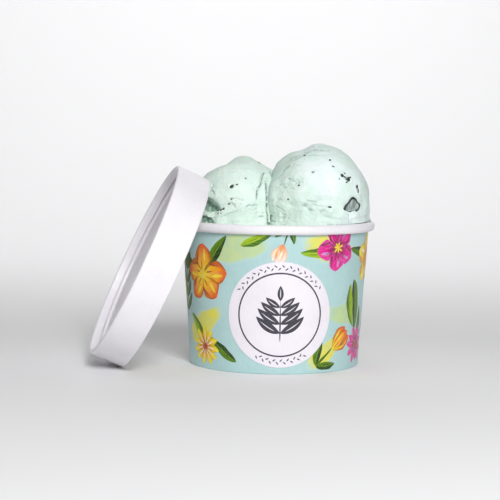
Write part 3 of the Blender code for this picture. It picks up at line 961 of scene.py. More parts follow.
@dataclass
class BotanicalPrint:
    """Blossoms, buds and leafy sprigs printed all over the cup's side."""

    cup: PaperCup
    ground_lift: float = 0.02 * MM
    leaf_lift: float = 0.02 * MM
    flower_lift: float = 0.03 * MM
    top: float = 66.3 * MM
    bottom: float = 0.5 * MM
    petals: int = 5
    stamens: int = 7
    rays: int = 11
    heart_dots: int = 9
    leaf_pairs: int = 4
    surfaces: dict[Ink, Surface] = field(default_factory=dict)
    draw: random.Random = field(default_factory=lambda: random.Random(PRINT_SEED))

    def lay(
        self, brush: Brush, ink: Ink, start: Place, heading: float, length: float, width: float,
        bend: float, belly: float,
    ) -> None:
        """Lays one stroke of an ink, streaked in its own way."""
        surface = self.surfaces.setdefault(ink, Surface())
        brush.stroke(surface, start, heading, length, width, bend, belly, self.draw.random())

    def brush(self, spray: Spray, lift: float) -> Brush:
        """A brush whose sheet starts at a spray's middle.

        Args:
            spray: The spray.
            lift: Height of its first stroke over the board.

        Returns:
            The brush.
        """
        turn = math.radians(spray.turn_degrees)

        def sheet(across: float, up: float, height: float) -> Vector:
            """A point across and up from the spray's middle."""
            level = spray.height * MM + up
            return self.cup.on_side(turn + across / self.cup.radius(level), level, height)

        return Brush(sheet, lift)

    def paint_petal(
        self, brush: Brush, ink: Ink, start: Place, heading: float, length: float, width: float, bend: float
    ) -> None:
        """One petal, with a darker stroke along one edge and lighter strokes over its body.

        Args:
            brush: The spray's brush.
            ink: The petal's ink.
            start: Across and up, where it starts.
            heading: Direction in which it sets off.
            length: Its length.
            width: Its greatest width.
            bend: How far it turns over its length.
        """
        self.lay(brush, ink, start, heading, length, width, bend, 1.2)
        dark, light = OVERLAYS[ink]
        side = self.draw.choice((-1.0, 1.0))
        strokes = (
            (dark, 0.30, side * 0.34, 0.60, 0.13, -side * 0.55),
            (light, 0.36, -side * 0.16, 0.46, 0.15, side * 0.2),
            (dark, 0.10, side * 0.05, 0.34, 0.07, 0.1),
        )
        for stroke_ink, along, aside, share, thickness, curl in strokes:
            across = start[0] + length * along * math.cos(heading) - width * aside * math.sin(heading)
            up = start[1] + length * along * math.sin(heading) + width * aside * math.cos(heading)
            self.lay(
                brush, stroke_ink, (across, up), heading + bend * along, length * share,
                width * thickness, bend * share + curl * 0.5, 0.9
            )

    def paint_blossom(self, spray: Spray) -> None:
        """Five round petals over two slender leaves, with a ring of stamens.

        Args:
            spray: The blossom's place, size and inks.
        """
        size = spray.size * MM
        lean = math.radians(spray.lean_degrees)
        brush = self.brush(spray, self.ground_lift + self.flower_lift)
        for turn in (0.55, 2.6):
            self.lay(
                brush, spray.second, (0.0, 0.0), lean + turn, size * 1.8, size * 0.42,
                self.draw.uniform(-0.6, 0.6), 0.9
            )
        for turn in turns_round(self.petals):
            heading = lean + turn + self.draw.uniform(-0.14, 0.14)
            start = reached(0.06 * size, heading)
            self.paint_petal(
                brush, spray.ink, start, heading, size * self.draw.uniform(0.9, 1.08),
                size * self.draw.uniform(0.7, 0.86), self.draw.uniform(-0.3, 0.3),
            )
        heart = Ink.GOLD if spray.ink is not Ink.YELLOW else Ink.ORANGE
        for turn in turns_round(self.stamens):
            self.lay(
                brush, heart, (0.0, 0.0), lean + turn + 0.3, size * self.draw.uniform(0.2, 0.3),
                size * 0.08, 0.2, 1.3
            )

    def paint_daisy(self, spray: Spray) -> None:
        """Eleven slender petals round a rust heart, over one leaf.

        Args:
            spray: The daisy's place, size and inks.
        """
        size = spray.size * MM
        lean = math.radians(spray.lean_degrees)
        brush = self.brush(spray, self.ground_lift + self.flower_lift)
        self.lay(brush, spray.second, (0.0, 0.0), lean + 0.9, size * 2.0, size * 0.5, 0.6, 0.9)
        _, light = OVERLAYS[spray.ink]
        for turn in turns_round(self.rays):
            heading = lean + turn + self.draw.uniform(-0.08, 0.08)
            start = reached(0.16 * size, heading)
            length = size * self.draw.uniform(0.74, 0.9)
            bend = self.draw.uniform(-0.2, 0.2)
            for ink, share, width, belly in ((spray.ink, 1.0, 0.34, 1.1), (light, 0.7, 0.06, 0.9)):
                self.lay(brush, ink, start, heading, length * share, size * width, bend, belly)
        for heading in turns_round(self.heart_dots):
            self.lay(brush, Ink.RUST, (0.0, 0.0), heading, size * 0.22, size * 0.13, 0.3, 1.0)

    def paint_sprig(self, spray: Spray) -> None:
        """A bent stem with leaves on both sides and one at its tip.

        Args:
            spray: The sprig's place, size and ink.
        """
        size = spray.size * MM
        lean = math.radians(spray.lean_degrees)
        bend = self.draw.uniform(-0.5, 0.5)
        brush = self.brush(spray, self.ground_lift + self.leaf_lift)
        self.lay(brush, spray.ink, (0.0, 0.0), lean, size, 0.035 * size, bend, 0.6)
        for number in range(self.leaf_pairs):
            share = 0.14 + 0.2 * number
            angle = lean + bend * share
            start = reached(size * share, angle)
            for side in (-1.0, 1.0):
                self.lay(
                    brush, spray.ink, start, angle + side * self.draw.uniform(0.6, 0.9),
                    size * self.draw.uniform(0.32, 0.42), size * self.draw.uniform(0.1, 0.13),
                    -side * self.draw.uniform(0.2, 0.6), 0.9
                )
        angle = lean + bend * 0.9
        tip = reached(size * 0.9, lean + bend * 0.5)
        self.lay(brush, spray.ink, tip, angle, size * 0.4, size * 0.15, 0.2, 0.9)

    def paint_leaf(self, spray: Spray) -> None:
        """One large leaf.

        Args:
            spray: The leaf's place, size and ink.
        """
        size = spray.size * MM
        low = isinstance(spray.ink.value, PaleWash)
        brush = self.brush(spray, self.ground_lift + (0.0 if low else self.leaf_lift))
        self.lay(
            brush, spray.ink, (0.0, 0.0), math.radians(spray.lean_degrees), size,
            size * (0.42 if low else 0.24), self.draw.uniform(-0.7, 0.7), 0.85
        )

    def paint_bud(self, spray: Spray) -> None:
        """A closed bud of three petals on a stem, with two leaves.

        Args:
            spray: The bud's place, size and inks.
        """
        size = spray.size * MM
        lean = math.radians(spray.lean_degrees)
        brush = self.brush(spray, self.ground_lift + self.flower_lift)
        back = reached(-size * 0.9, lean)
        self.lay(brush, spray.second, back, lean, size, size * 0.1, 0.1, 0.7)
        for side in (-1.0, 1.0):
            self.lay(brush, spray.second, back, lean + side * 0.9, size * 0.9, size * 0.3, -side * 0.5, 0.9)
        for turn in (-0.38, 0.38, 0.0):
            self.paint_petal(
                brush, spray.ink, (0.0, 0.0), lean + turn, size * 1.05, size * 0.5, -turn * 0.8
            )

    def trim(self, piece: bpy.types.Object) -> None:
        """Cuts off what reaches over the side's printed height.

        Args:
            piece: One ink's shapes.
        """
        shape = bmesh.new()
        shape.from_mesh(piece.data)
        for height, way in ((self.top, 1.0), (self.bottom, -1.0)):
            bmesh.ops.bisect_plane(
                shape,
                geom=shape.verts[:] + shape.edges[:] + shape.faces[:],
                plane_co=(0.0, 0.0, height),
                plane_no=(0.0, 0.0, way),
                clear_outer=True,
            )
        shape.to_mesh(piece.data)
        shape.free()

    def build(self) -> None:
        """Paints every spray and makes one piece for each ink."""
        ways = {
            Motif.BLOSSOM: self.paint_blossom,
            Motif.DAISY: self.paint_daisy,
            Motif.SPRIG: self.paint_sprig,
            Motif.LEAF: self.paint_leaf,
            Motif.BUD: self.paint_bud,
        }
        for spray in SPRAYS:
            ways[spray.motif](spray)
        for ink, surface in self.surfaces.items():
            piece = surface.piece("print_" + ink.name.lower(), ink.value.make(), closed=False)
            self.trim(piece)
            set_in_place(piece, self.cup.pose)


# The label


@dataclass
class RoundLabel:
    """The round white label with its dark ring, a sprig in its middle and two rows of small marks."""

    cup: PaperCup
    radius: float = 25.3 * MM
    height: float = 28.5 * MM
    turn: float = math.radians(2.8)
    back_lift: float = 0.14 * MM
    front_lift: float = 0.34 * MM
    ink_lift: float = 0.355 * MM
    sides: int = 160
    rings: int = 24
    ring_radius: float = 19.8 * MM
    ring_width: float = 0.75 * MM
    mark_radius: float = 22.5 * MM

    def place(self, across: float, up: float, lift: float) -> Vector:
        """A point over the wall, measured from the label's middle."""
        height = self.height + up
        return self.cup.on_side(self.turn + across / self.cup.radius(height), height, lift)

    def ring(self, surface: Surface, reach: float, lift: float) -> list[int]:
        """Adds the corners of one ring round the label's middle."""
        turns = turns_round(self.sides)
        return [surface.corner(self.place(*reached(reach, turn), lift)) for turn in turns]

    def disc(self, surface: Surface, lift: float, radius: float) -> list[int]:
        """Adds one face of the label.

        Args:
            surface: The mesh that it is added to.
            lift: Height over the cup's side.
            radius: The face's radius.

        Returns:
            The corners of its edge.
        """
        rows = [self.ring(surface, radius * step / self.rings, lift) for step in range(1, self.rings + 1)]
        surface.fan(surface.corner(self.place(0.0, 0.0, lift)), rows[0], ring=True)
        surface.bands(rows, ring=True)
        return rows[-1]

    def build_paper(self, paper: Material) -> None:
        """Builds the label's paper as a thin closed disc.

        Args:
            paper: The label's paper.
        """
        surface = Surface()
        back = self.disc(surface, self.back_lift, self.radius)
        front = self.disc(surface, self.front_lift, self.radius - 0.05 * MM)
        surface.bands([back, front], ring=True)
        set_in_place(surface.piece("label_disc", paper), self.cup.pose, "label")

    def build_ring(self, ink: Material) -> None:
        """Builds the dark ring.

        Args:
            ink: The dark ink.
        """
        surface = Surface()
        reaches = (self.ring_radius - self.ring_width / 2, self.ring_radius + self.ring_width / 2)
        rows = [self.ring(surface, reach, self.ink_lift) for reach in reaches]
        surface.bands(rows, ring=True)
        set_in_place(surface.piece("label_ring", ink, closed=False), self.cup.pose)

    def build_sprig(self, ink: Material, paper: Material) -> None:
        """Builds the sprig in the middle: a stem, slender leaves in pairs, and one at the tip.

        Args:
            ink: The dark ink.
            paper: The label's paper, which shows in the leaves' midribs.
        """
        brush = Brush(self.place, self.ink_lift, 0.001 * MM, unevenness=0.0, roundness=0.9)
        surface, ribs = Surface(), Surface()
        upright = math.pi / 2
        brush.stroke(surface, (0.0, -13.2 * MM), upright, 21.0 * MM, 0.7 * MM, 0.0, 0.7)
        leaves = [((0.0, 6.6), upright, 7.4, 2.9, 0.0)]
        for low, length, width in ((-8.8, 14.0, 4.3), (-4.4, 13.2, 4.1), (-0.2, 11.2, 3.7), (3.6, 8.4, 3.0)):
            for side in (-1.0, 1.0):
                leaves.append(((0.0, low), upright - side * 1.2, length, width, side * 0.45))
        for (across, up), heading, length, width, bend in leaves:
            start = (across * MM, up * MM)
            brush.stroke(surface, start, heading, length * MM, width * MM, bend, 0.9)
            near = 0.18 * length * MM
            inner = (start[0] + near * math.cos(heading), start[1] + near * math.sin(heading))
            brush.stroke(ribs, inner, heading + 0.18 * bend, 0.62 * length * MM, 0.42 * MM, 0.62 * bend, 0.9)
        set_in_place(surface.piece("label_sprig", ink, closed=False), self.cup.pose)
        set_in_place(ribs.piece("label_sprig_ribs", paper, closed=False), self.cup.pose)

    def build_marks(self, ink: Material) -> None:
        """Builds the two rows of small leaf marks between the ring and the label's edge.

        Args:
            ink: The dark ink.
        """
        brush = Brush(self.place, self.ink_lift, 0.0, 6, 2, unevenness=0.0)
        surface = Surface()
        for middle, half, count in ((90.0, 58.0, 27), (-90.0, 30.0, 15)):
            for number in range(count):
                angle = math.radians(middle + half * (2.0 * number / (count - 1) - 1.0))
                start = reached(self.mark_radius, angle)
                tilt = 0.8 if number % 2 else -0.8
                brush.stroke(surface, start, angle + math.pi / 2 + tilt, 1.9 * MM, 0.6 * MM)
        set_in_place(surface.piece("label_marks", ink, closed=False), self.cup.pose)

    def build(self) -> None:
        """Builds and dresses the whole label."""
        ink, paper = LABEL_INK.make(), LABEL_PAPER.make()
        self.build_paper(paper)
        self.build_ring(ink)
        self.build_sprig(ink, paper)
        self.build_marks(ink)


# The lid


@dataclass
class LeaningLid:
    """The lid: a band with a rolled lip and a folded hem, and a panel with its turned-up edge."""

    cup_pose: Matrix
    radius: float = 50.1 * MM
    height: float = 17.0 * MM
    board: float = 0.45 * MM
    fold: float = 1.9 * MM
    fold_height: float = 4.0 * MM
    recess: float = 6.1 * MM
    lip_radius: float = 0.7 * MM
    tilt: float = math.radians(25.0)
    yaw: float = math.radians(8.0)
    foot: tuple[float, float] = (-74.7 * MM, -19.2 * MM)
    hem_waver: float = 0.3 * MM
    waver_size: float = 9.0 * MM
    hem_crinkle: float = 0.16 * MM
    crinkle_size: float = 5.0 * MM
    hem_rounding: float = 0.1 * MM
    hem_rise: float = 0.8 * MM
    hem_reach: float = 0.15 * MM
    panel_gap: float = 0.25 * MM
    panel_drop: float = 0.65 * MM
    panel_corner: float = 0.6 * MM
    panel_crown: float = 0.12 * MM
    segments: int = 288

    def pose(self) -> Matrix:
        """Where the lid's own axes stand.

        Returns:
            The pose in the cup's frame, carried over to the part's.
        """
        lean = Euler((0.0, self.tilt - math.pi / 2, self.yaw)).to_matrix()
        place = Vector((*self.foot, 0.0)) - lean @ Vector((-self.radius, 0.0, 0.0))
        place.z -= self.lip_radius * (math.cos(self.tilt) + math.sin(self.tilt) - 1.0)
        return self.cup_pose @ Matrix.Translation(place) @ lean.to_4x4()

    def build_band(self, finish: Material) -> None:
        """Builds the band with its lip, its rounded closed edge and the hem folded inside it.

        Args:
            finish: The white board.
        """
        fold_radius = self.fold / 2
        inner = self.radius - self.board
        hem_height = self.height - self.fold_height
        outline = arc((self.radius - self.lip_radius, self.lip_radius), (self.lip_radius,) * 2, -180, 0, 14)
        rise = hem_height - self.lip_radius
        outline += [(self.radius, self.lip_radius + rise * step / 6) for step in range(1, 7)]
        outline += arc((self.radius - fold_radius, self.height - fold_radius), (fold_radius,) * 2, 0, 180, 16)
        outline += [
            (self.radius - self.fold, hem_height + self.hem_rounding),
            (self.radius - self.fold + self.hem_rounding, hem_height),
            (self.radius - self.fold + self.board, hem_height),
            (self.radius - self.fold + self.board, hem_height + self.hem_rise),
            (inner, hem_height + self.hem_rise),
            (inner, 2 * self.lip_radius),
        ]
        surface = Surface()
        surface.turn(outline, self.segments, closed=True)
        for place in surface.corners:
            on_hem = place.xy.length < self.radius - fold_radius and place.z > hem_height - self.hem_reach
            if on_hem and place.z < hem_height + self.hem_reach:
                place.z += self.hem_waver * noise.noise(Vector((place.x, place.y, 0.0)) / self.waver_size)
            if on_hem:
                spot = Vector((place.x, place.y, 2.0 * place.z)) / self.crinkle_size
                crinkle = noise.fractal(spot, 1.0, 2.0, 3)
                place.xy *= 1.0 - self.hem_crinkle * (0.5 + crinkle) / self.radius
        set_in_place(surface.piece("lid_side", finish), self.pose(), "lid_band")

    def build_panel(self, finish: Material) -> None:
        """Builds the panel, a little crowned, with its edge turned up against the hem.

        Args:
            finish: The white board.
        """
        face = self.height - self.recess
        under = face - self.board
        wall = self.radius - self.fold + self.panel_gap
        edge_top = self.height - self.fold_height - self.panel_drop
        corner = self.panel_corner
        top = [(wall * step / 16, face - self.panel_crown * (step / 16) ** 2) for step in range(0, 16)]
        top += arc((wall - corner, face + corner), (corner, corner), -90, 0, 5)
        outline = top + [
            (wall, edge_top),
            (wall + self.board, edge_top),
            (wall + self.board, under),
            (0.0, under),
        ]
        surface = Surface()
        surface.turn(outline, self.segments, closed=False)
        set_in_place(surface.piece("lid_face", finish), self.pose(), "lid_panel")

    def build(self) -> None:
        """Builds and dresses the whole lid."""
        finish = CoatedPaper("lid_board", tone(247, 244, 249), tone(240, 237, 243), 0.36, 0.25).make()
        self.build_band(finish)
        self.build_panel(finish)

    def pressed_by(self, place: Vector, clearance: float) -> bool:
        """Whether a point of the cup's frame lies in the lid's ring or closer to it than a clearance.

        Args:
            place: The point.
            clearance: The distance that counts as pressed.

        Returns:
            True if it does.
        """
        own = (self.cup_pose.inverted() @ self.pose()).inverted() @ place
        reach = own.xy.length
        inside = self.radius - self.fold - clearance
        return inside < reach < self.radius + clearance and -clearance < own.z < self.height


# The ice cream


@dataclass(frozen=True)
class Bump:
    """A soft rise or hollow of a ball, in millimetres, towards a direction, with its angular width."""

    towards: tuple[float, float, float]
    width: float
    rise: float


@dataclass(frozen=True)
class Fold:
    """An upright fold of a ball, in millimetres, at a turn from straight ahead."""

    middle_degrees: float
    width_degrees: float
    rise: float


@dataclass(frozen=True)
class Crease:
    """A cut or ridge along a line on a ball's front, in millimetres across and up from its centre."""

    line: Line
    rise: float
    width: float
    shade: float = 0.0
    broken: float = 1.1

    def reaches(self, across: float, up: float) -> bool:
        """Whether a place lies in the box round the line."""
        margin = 3.0 * self.width
        places = list(zip(*self.line))
        in_width = min(places[0]) - margin < across < max(places[0]) + margin
        return in_width and min(places[1]) - margin < up < max(places[1]) + margin


@dataclass(frozen=True)
class Ledge:
    """A torn edge along a line on a ball's front, below which the ice cream stands out, in millimetres."""

    line: Line
    rise: float
    fade: float


@dataclass(frozen=True)
class TornPatch:
    """A patch of a ball's front that is torn into crumbs and short tears, in millimetres across and up."""

    across: float
    up: float
    reach: float
    strength: float
    sink: float = 0.0
    tears: int = 0

    def short_tears(self, draw: random.Random) -> list[Crease]:
        """Short, mostly level tears scattered over the patch.

        Args:
            draw: Source of their places and shapes.

        Returns:
            The tears.
        """
        made = []
        for _ in range(self.tears):
            across = self.across + draw.gauss(0.0, 0.42) * self.reach
            up = self.up + draw.gauss(0.0, 0.34) * self.reach
            heading = draw.uniform(-0.7, 0.35)
            half = draw.uniform(0.15, 0.62)
            sag = draw.uniform(-0.25, 0.25)
            run, climb = half * math.cos(heading), half * math.sin(heading)
            line = ((across - run, up - climb), (across, up + sag), (across + run, up + climb))
            depth, width = draw.uniform(-0.5, -0.25), draw.uniform(0.22, 0.42)
            made.append(Crease(line, depth, width, draw.uniform(0.15, 0.55), 2.4))
        return made


@dataclass(frozen=True)
class Cave:
    """A torn hollow on a ball's front, in millimetres, deeper from its shallow place to its deep one."""

    outline: Line
    depth: float
    edge: float
    shallow: tuple[float, float]
    deep: tuple[float, float]

    def share(self, across: float, up: float) -> float:
        """How deep the hollow is at a place, as a share of its depth.

        Args:
            across: The place across.
            up: The place up.

        Returns:
            The share, from 0 to 1.
        """
        low = min(place[1] for place in self.outline)
        high = max(place[1] for place in self.outline)
        if not low < up < high:
            return 0.0
        inside = False
        corners = self.outline + self.outline[:1]
        for (x0, y0), (x1, y1) in zip(corners, corners[1:]):
            if (y0 > up) != (y1 > up) and across < x0 + (up - y0) * (x1 - x0) / (y1 - y0):
                inside = not inside
        if not inside:
            return 0.0
        steep = smooth_step(line_distance(across, up, corners)[0], 0.0, self.edge)
        slope = Vector(self.deep) - Vector(self.shallow)
        along = (Vector((across, up)) - Vector(self.shallow)).dot(slope) / slope.length_squared
        return steep * (0.03 + 0.97 * smooth_step(along, 0.05, 1.0))


@dataclass(frozen=True)
class Chip:
    """A shard of chocolate on a ball: its direction, its size in metres and its turn in the surface."""

    towards: Vector
    length: float
    width: float
    turn: float
    filmed: bool = False
    outline: Line = ()


@dataclass(frozen=True)
class FrontChip:
    """A chip listed on a ball's front: its place and size in millimetres and its turn in degrees."""

    across: float
    up: float
    length: float
    width: float
    turn_degrees: float
    filmed: bool = False
    outline: Line = ()

    def chip(self, radius: float) -> Chip:
        """The chip on a ball.

        Args:
            radius: The ball's radius.

        Returns:
            The chip.
        """
        reach = radius / MM
        depth = math.sqrt(reach**2 - self.across**2 - self.up**2)
        towards = Vector((self.across, -depth, self.up)).normalized()
        turn = math.radians(self.turn_degrees)
        return Chip(towards, self.length * MM, self.width * MM, turn, self.filmed, self.outline)


def line_distance(across: float, up: float, line: Sequence[Place]) -> Place:
    """Distance from a point to a line, and on which side of it the point lies.

    Args:
        across: The point's place across.
        up: The point's place up.
        line: The line's points from left to right.

    Returns:
        The distance, and the point's height over the line where it is nearest.
    """
    best, over = 1e9, 0.0
    for (x0, y0), (x1, y1) in zip(line, line[1:]):
        dx, dy = x1 - x0, y1 - y0
        share = ((across - x0) * dx + (up - y0) * dy) / (dx * dx + dy * dy)
        share = min(1.0, max(0.0, share))
        nx, ny = x0 + dx * share, y0 + dy * share
        distance = math.hypot(across - nx, up - ny)
        if distance < best:
            best, over = distance, up - ny
    return best, over


LUMP_SIZE = 13.0 * MM
LUMP_HEIGHT = 0.5 * MM
TEAR_SIZE = 5.0 * MM
TEAR_HEIGHT = 0.9 * MM
SKIRT_HEIGHT = 2.6 * MM
SKIRT_REACH = 2.4 * MM
SKIRT_SIZE = 7.0 * MM
FOLD_FADE = (0.42, 0.85)
TEAR_FADE = (-0.2, 0.45)
SEAT = 69.6 * MM
# Outline of the large humped shard, as shares of half its length and half its width
HUMPED_SHARD = (
    (1.0, -0.06), (0.92, 0.18), (0.6, 0.48), (0.44, 0.86), (0.16, 1.12), (-0.1, 1.14),
    (-0.34, 0.86), (-0.5, 0.5), (-0.86, 0.1), (-1.02, -0.3), (-1.0, -0.62), (-0.74, -0.84),
    (-0.34, -0.92), (0.1, -0.98), (0.6, -0.88), (0.9, -0.5),
)
# How deep each ring of a shard lies in its thickness, and its shares of the outline and of the film
SHARD_LEVELS = (
    (1.0, 0.75, 0.0), (0.3, 1.0, 0.0), (0.12, 0.96, 0.0), (0.0, 0.84, 0.2), (0.0, 0.66, 0.8), (0.0, 0.4, 1.0),
)
FINE_SIZE = 6.0 * MM
FINE_HEIGHT = 0.22 * MM
CRUMB_SIZE = 1.7 * MM
RIDGE_SIZE = 4.2 * MM
FLAKE_SIZE = 5.5 * MM
DRAG_LENGTH = 16.0 * MM
DRAG_WIDTH = 1.3 * MM
DRAG_HEIGHT = 0.16 * MM
CALM_SIZE = 11.0 * MM
FLECKS = 90
BIG_THICKNESS, BIG_PROUD = 1.6 * MM, 0.3 * MM
CHIP_THICKNESS, CHIP_PROUD = 1.1 * MM, 0.38 * MM
FLECK_THICKNESS, FLECK_PROUD = 0.4 * MM, 0.08 * MM
BACK_CHIPS = 8
BACK_SHIFT = 0.14
CHIP_SEED = 11
NEXT_SCOOP = 0.5
# Share of painted hollow shade on a ball's sides and back
SIDE_SHADE = 0.16
# How far a ball is drawn back before the painted shade where it meets its neighbour or the lid is full
PRESSED_SHADE_DEPTH = 1.2 * MM
SHARD_SIDES = 10
# The bed's paint values: its warmth, no crack shade, and a little painted hollow shade
BED_PAINT = (0.8, 0.0, 0.12)


@dataclass
class Scoop:
    """One ball of ice cream on its foot, with its torn places, creases and chocolate chips."""

    name: str
    node: str
    centre: Vector
    radius: float
    bumps: tuple[Bump, ...]
    creases: tuple[Crease, ...]
    ledges: tuple[Ledge, ...]
    patches: tuple[TornPatch, ...]
    front_chips: tuple[FrontChip, ...]
    warmth: tuple[float, float]
    away: float
    folds: tuple[Fold, ...] = ()
    caves: tuple[Cave, ...] = ()
    sides: int = 400
    crowding: float = 0.4
    dome_rings: int = 124
    foot_rings: int = 40
    sink: float = 0.9 * MM
    mouth_radius: float = 45.2 * MM
    mouth_height: float = 71.2 * MM
    chips: list[Chip] = field(default_factory=list)
    cuts: list[Crease] = field(default_factory=list)

    def relief(self, direction: Vector) -> float:
        """How far the ball's main forms stand out along a direction.

        Args:
            direction: Unit direction from its centre.

        Returns:
            The relief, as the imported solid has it.
        """
        height = 0.0
        for bump in self.bumps:
            height += bump.rise * MM * math.exp(-((direction.angle(Vector(bump.towards)) / bump.width) ** 2))
        turn = math.degrees(math.atan2(direction.x, -direction.y))
        fade = 1.0 - smooth_step(direction.z, *FOLD_FADE)
        for fold in self.folds:
            away = (turn - fold.middle_degrees) / fold.width_degrees
            height += fold.rise * MM * fade * math.exp(-(away**2))
        place = self.centre + direction * self.radius
        torn = 1.0 - smooth_step(direction.z, *TEAR_FADE)
        height += TEAR_HEIGHT * torn * noise.noise(place / TEAR_SIZE)
        return height + LUMP_HEIGHT * noise.noise(place / LUMP_SIZE)

    def skirt(self, offset: Vector) -> float:
        """How far the ragged foot is pressed out, at an offset from the centre.

        Args:
            offset: The offset.

        Returns:
            The reach of the skirt.
        """
        over_seat = max(0.0, self.centre.z + offset.z - SEAT)
        ragged = 0.5 + 0.5 * noise.noise((self.centre + offset) / SKIRT_SIZE)
        return SKIRT_REACH * ragged * math.exp(-((over_seat / SKIRT_HEIGHT) ** 2))

    def detail(self, offset: Vector, direction: Vector) -> tuple[float, float, float]:
        """Fine relief and its shade: lumps, drag marks, torn crumbs, creases, ledges and hollows.

        Args:
            offset: Offset from the centre.
            direction: The offset's unit direction.

        Returns:
            The fine relief, the share of painted crack shade and the share of painted hollow shade.
        """
        place = self.centre + offset
        across, up = offset.x / MM, offset.z / MM
        height = FINE_HEIGHT * noise.fractal(place / FINE_SIZE, 1.0, 2.1, 3)
        crumbs = noise.fractal(place / CRUMB_SIZE, 0.8, 2.1, 3)
        front = smooth_step(-direction.y, -0.25, 0.3)
        torn = (0.08 + 0.6 * (1.0 - smooth_step(direction.z, -0.5, 0.05))) * (1.0 - 0.7 * front)
        # Painted shade: the sides and back of each ball darken towards the hollow tone
        crack_shade, hollow = 0.0, SIDE_SHADE * smooth_step(direction.y, -0.8, -0.1)
        if offset.y < 0.0:
            # Painted shade in each cave, darkest towards its deep place
            for cave in self.caves:
                share = cave.share(across, up)
                height -= cave.depth * MM * share * (1.0 + 0.5 * crumbs)
                hollow = max(hollow, min(1.0, share * (0.72 - 0.8 * crumbs)))
                torn += 0.5 * share
            for patch in self.patches:
                share = math.exp(-(((across - patch.across) ** 2 + (up - patch.up) ** 2) / patch.reach**2))
                torn += patch.strength * share
                height -= patch.sink * MM * share
            # Painted shade along each crease and tear, broken up by the crumbs
            for crease in self.cuts:
                if crease.reaches(across, up):
                    distance, _ = line_distance(across, up, crease.line)
                    share = math.exp(-((distance / crease.width) ** 2))
                    height += crease.rise * MM * share
                    crack_shade = max(crack_shade, crease.shade * share * min(1.0, 1.0 + crease.broken * (crumbs - 0.1)))
            for ledge in self.ledges:
                distance, over = line_distance(across, up, ledge.line)
                if over < 0.4:
                    edge = smooth_step(-over, -0.4, 0.35)
                    height += ledge.rise * MM * edge * math.exp(-distance / ledge.fade)
        torn = min(1.0, torn)
        lying = Vector((place.x, place.y, 1.8 * place.z))
        ridged = noise.ridged_multi_fractal(lying / RIDGE_SIZE, 0.9, 2.2, 4, 1.0, 1.3)
        rough = torn * MM * (0.45 * (ridged - 0.8) + 0.5 * crumbs)
        height += rough + (0.1 + 0.6 * torn) * MM * self.flakes(place)
        drag = Vector((place.x / DRAG_LENGTH, place.y / DRAG_LENGTH, place.z / DRAG_WIDTH))
        calm = noise.noise(place / CALM_SIZE)
        height += DRAG_HEIGHT * max(0.0, 0.4 + calm) * noise.noise(drag)
        return height, max(0.0, crack_shade), max(0.0, hollow)

    def flakes(self, place: Vector) -> float:
        """Overlapping torn flakes, each with a steep edge, from about -0.5 to 0.5.

        Args:
            place: Where to read them, in the cup's frame.

        Returns:
            The height of the flake there.
        """
        lying = Vector((place.x, place.y, 2.0 * place.z + 0.5 * place.x)) / FLAKE_SIZE
        level = 2.2 * noise.fractal(lying, 0.9, 2.0, 3)
        part = level - math.floor(level)
        return smooth_step(part, 0.0, 0.22) - part

    def row(self, ring: int) -> tuple[float, float]:
        """Radius and rise of one ring of corners, counted from the foot.

        Args:
            ring: The ring's number.

        Returns:
            Its radius and its height over the centre.
        """
        if ring < self.foot_rings:
            low = SEAT - self.sink - self.centre.z
            return self.radius, low * (1.0 - ring / self.foot_rings)
        angle = math.pi / 2 * (ring - self.foot_rings) / self.dome_rings
        return self.radius * math.cos(angle), self.radius * math.sin(angle)

    def covers(self, place: Vector, clearance: float) -> bool:
        """Whether a point lies inside this scoop or closer to it than a clearance.

        Args:
            place: The point.
            clearance: The distance that counts as covered.

        Returns:
            True if it does.
        """
        offset = place - self.centre
        if offset.z >= 0.0:
            return offset.length < self.radius + self.relief(offset.normalized()) + clearance
        level = offset.xy.length
        if abs(level - self.radius) > 6.0 * MM:
            return level < self.radius
        foot = Vector((offset.x, offset.y, 0.0)).normalized() * self.radius
        foot.z = offset.z
        out = self.relief(foot.normalized()) + self.skirt(foot)
        return level < self.radius + out + clearance

    def kept_clear(self, place: Vector, outward: Vector, blocks: Callable[[Vector], bool]) -> Vector:
        """Draws a point back into the ball until nothing blocks it.

        Args:
            place: The point.
            outward: The direction from which it is drawn back.
            blocks: Says whether something else takes up a place.

        Returns:
            The nearest free place behind it.
        """
        if not blocks(place):
            return place
        step = 0.5 * MM
        back = 0.0
        while back < 26.0 * MM and blocks(place - outward * back):
            back += step
        while step > 0.02 * MM:
            step /= 2.0
            back += step if blocks(place - outward * back) else -step
        return place - outward * back

    def dent(self, place: Vector) -> float:
        """The dent and small rim that the chips make round themselves.

        Args:
            place: A point of the surface, as an offset from the centre.

        Returns:
            The change in height there.
        """
        height = 0.0
        for chip in self.chips:
            reach = 0.25 * (chip.length + chip.width) + 0.3 * MM
            away = (place - chip.towards * self.radius).length / reach
            if away < 2.2:
                ridge = math.exp(-((away - 1.25) ** 2) / 0.08)
                height += min(0.25 * MM, 0.12 * chip.length) * (ridge - 0.9 * math.exp(-(away**4)))
        return height

    def surface_point(self, offset: Vector) -> tuple[Vector, Vector, tuple[float, float, float]]:
        """The finished surface over an offset of the plain ball.

        Args:
            offset: The offset.

        Returns:
            The point in the cup's frame, the direction in which it was raised, and its paint values.
        """
        direction = offset.normalized()
        outward = Vector((direction.x, direction.y, max(0.0, direction.z))).normalized()
        fine, crack_shade, hollow = self.detail(offset, direction)
        rise = self.relief(direction) + self.skirt(offset) + fine + self.dent(offset)
        warmth = 1.0 - smooth_step(offset.x / MM + 0.4 * offset.z / MM, *self.warmth)
        return self.centre + offset + outward * rise, outward, (warmth, crack_shade, hollow)

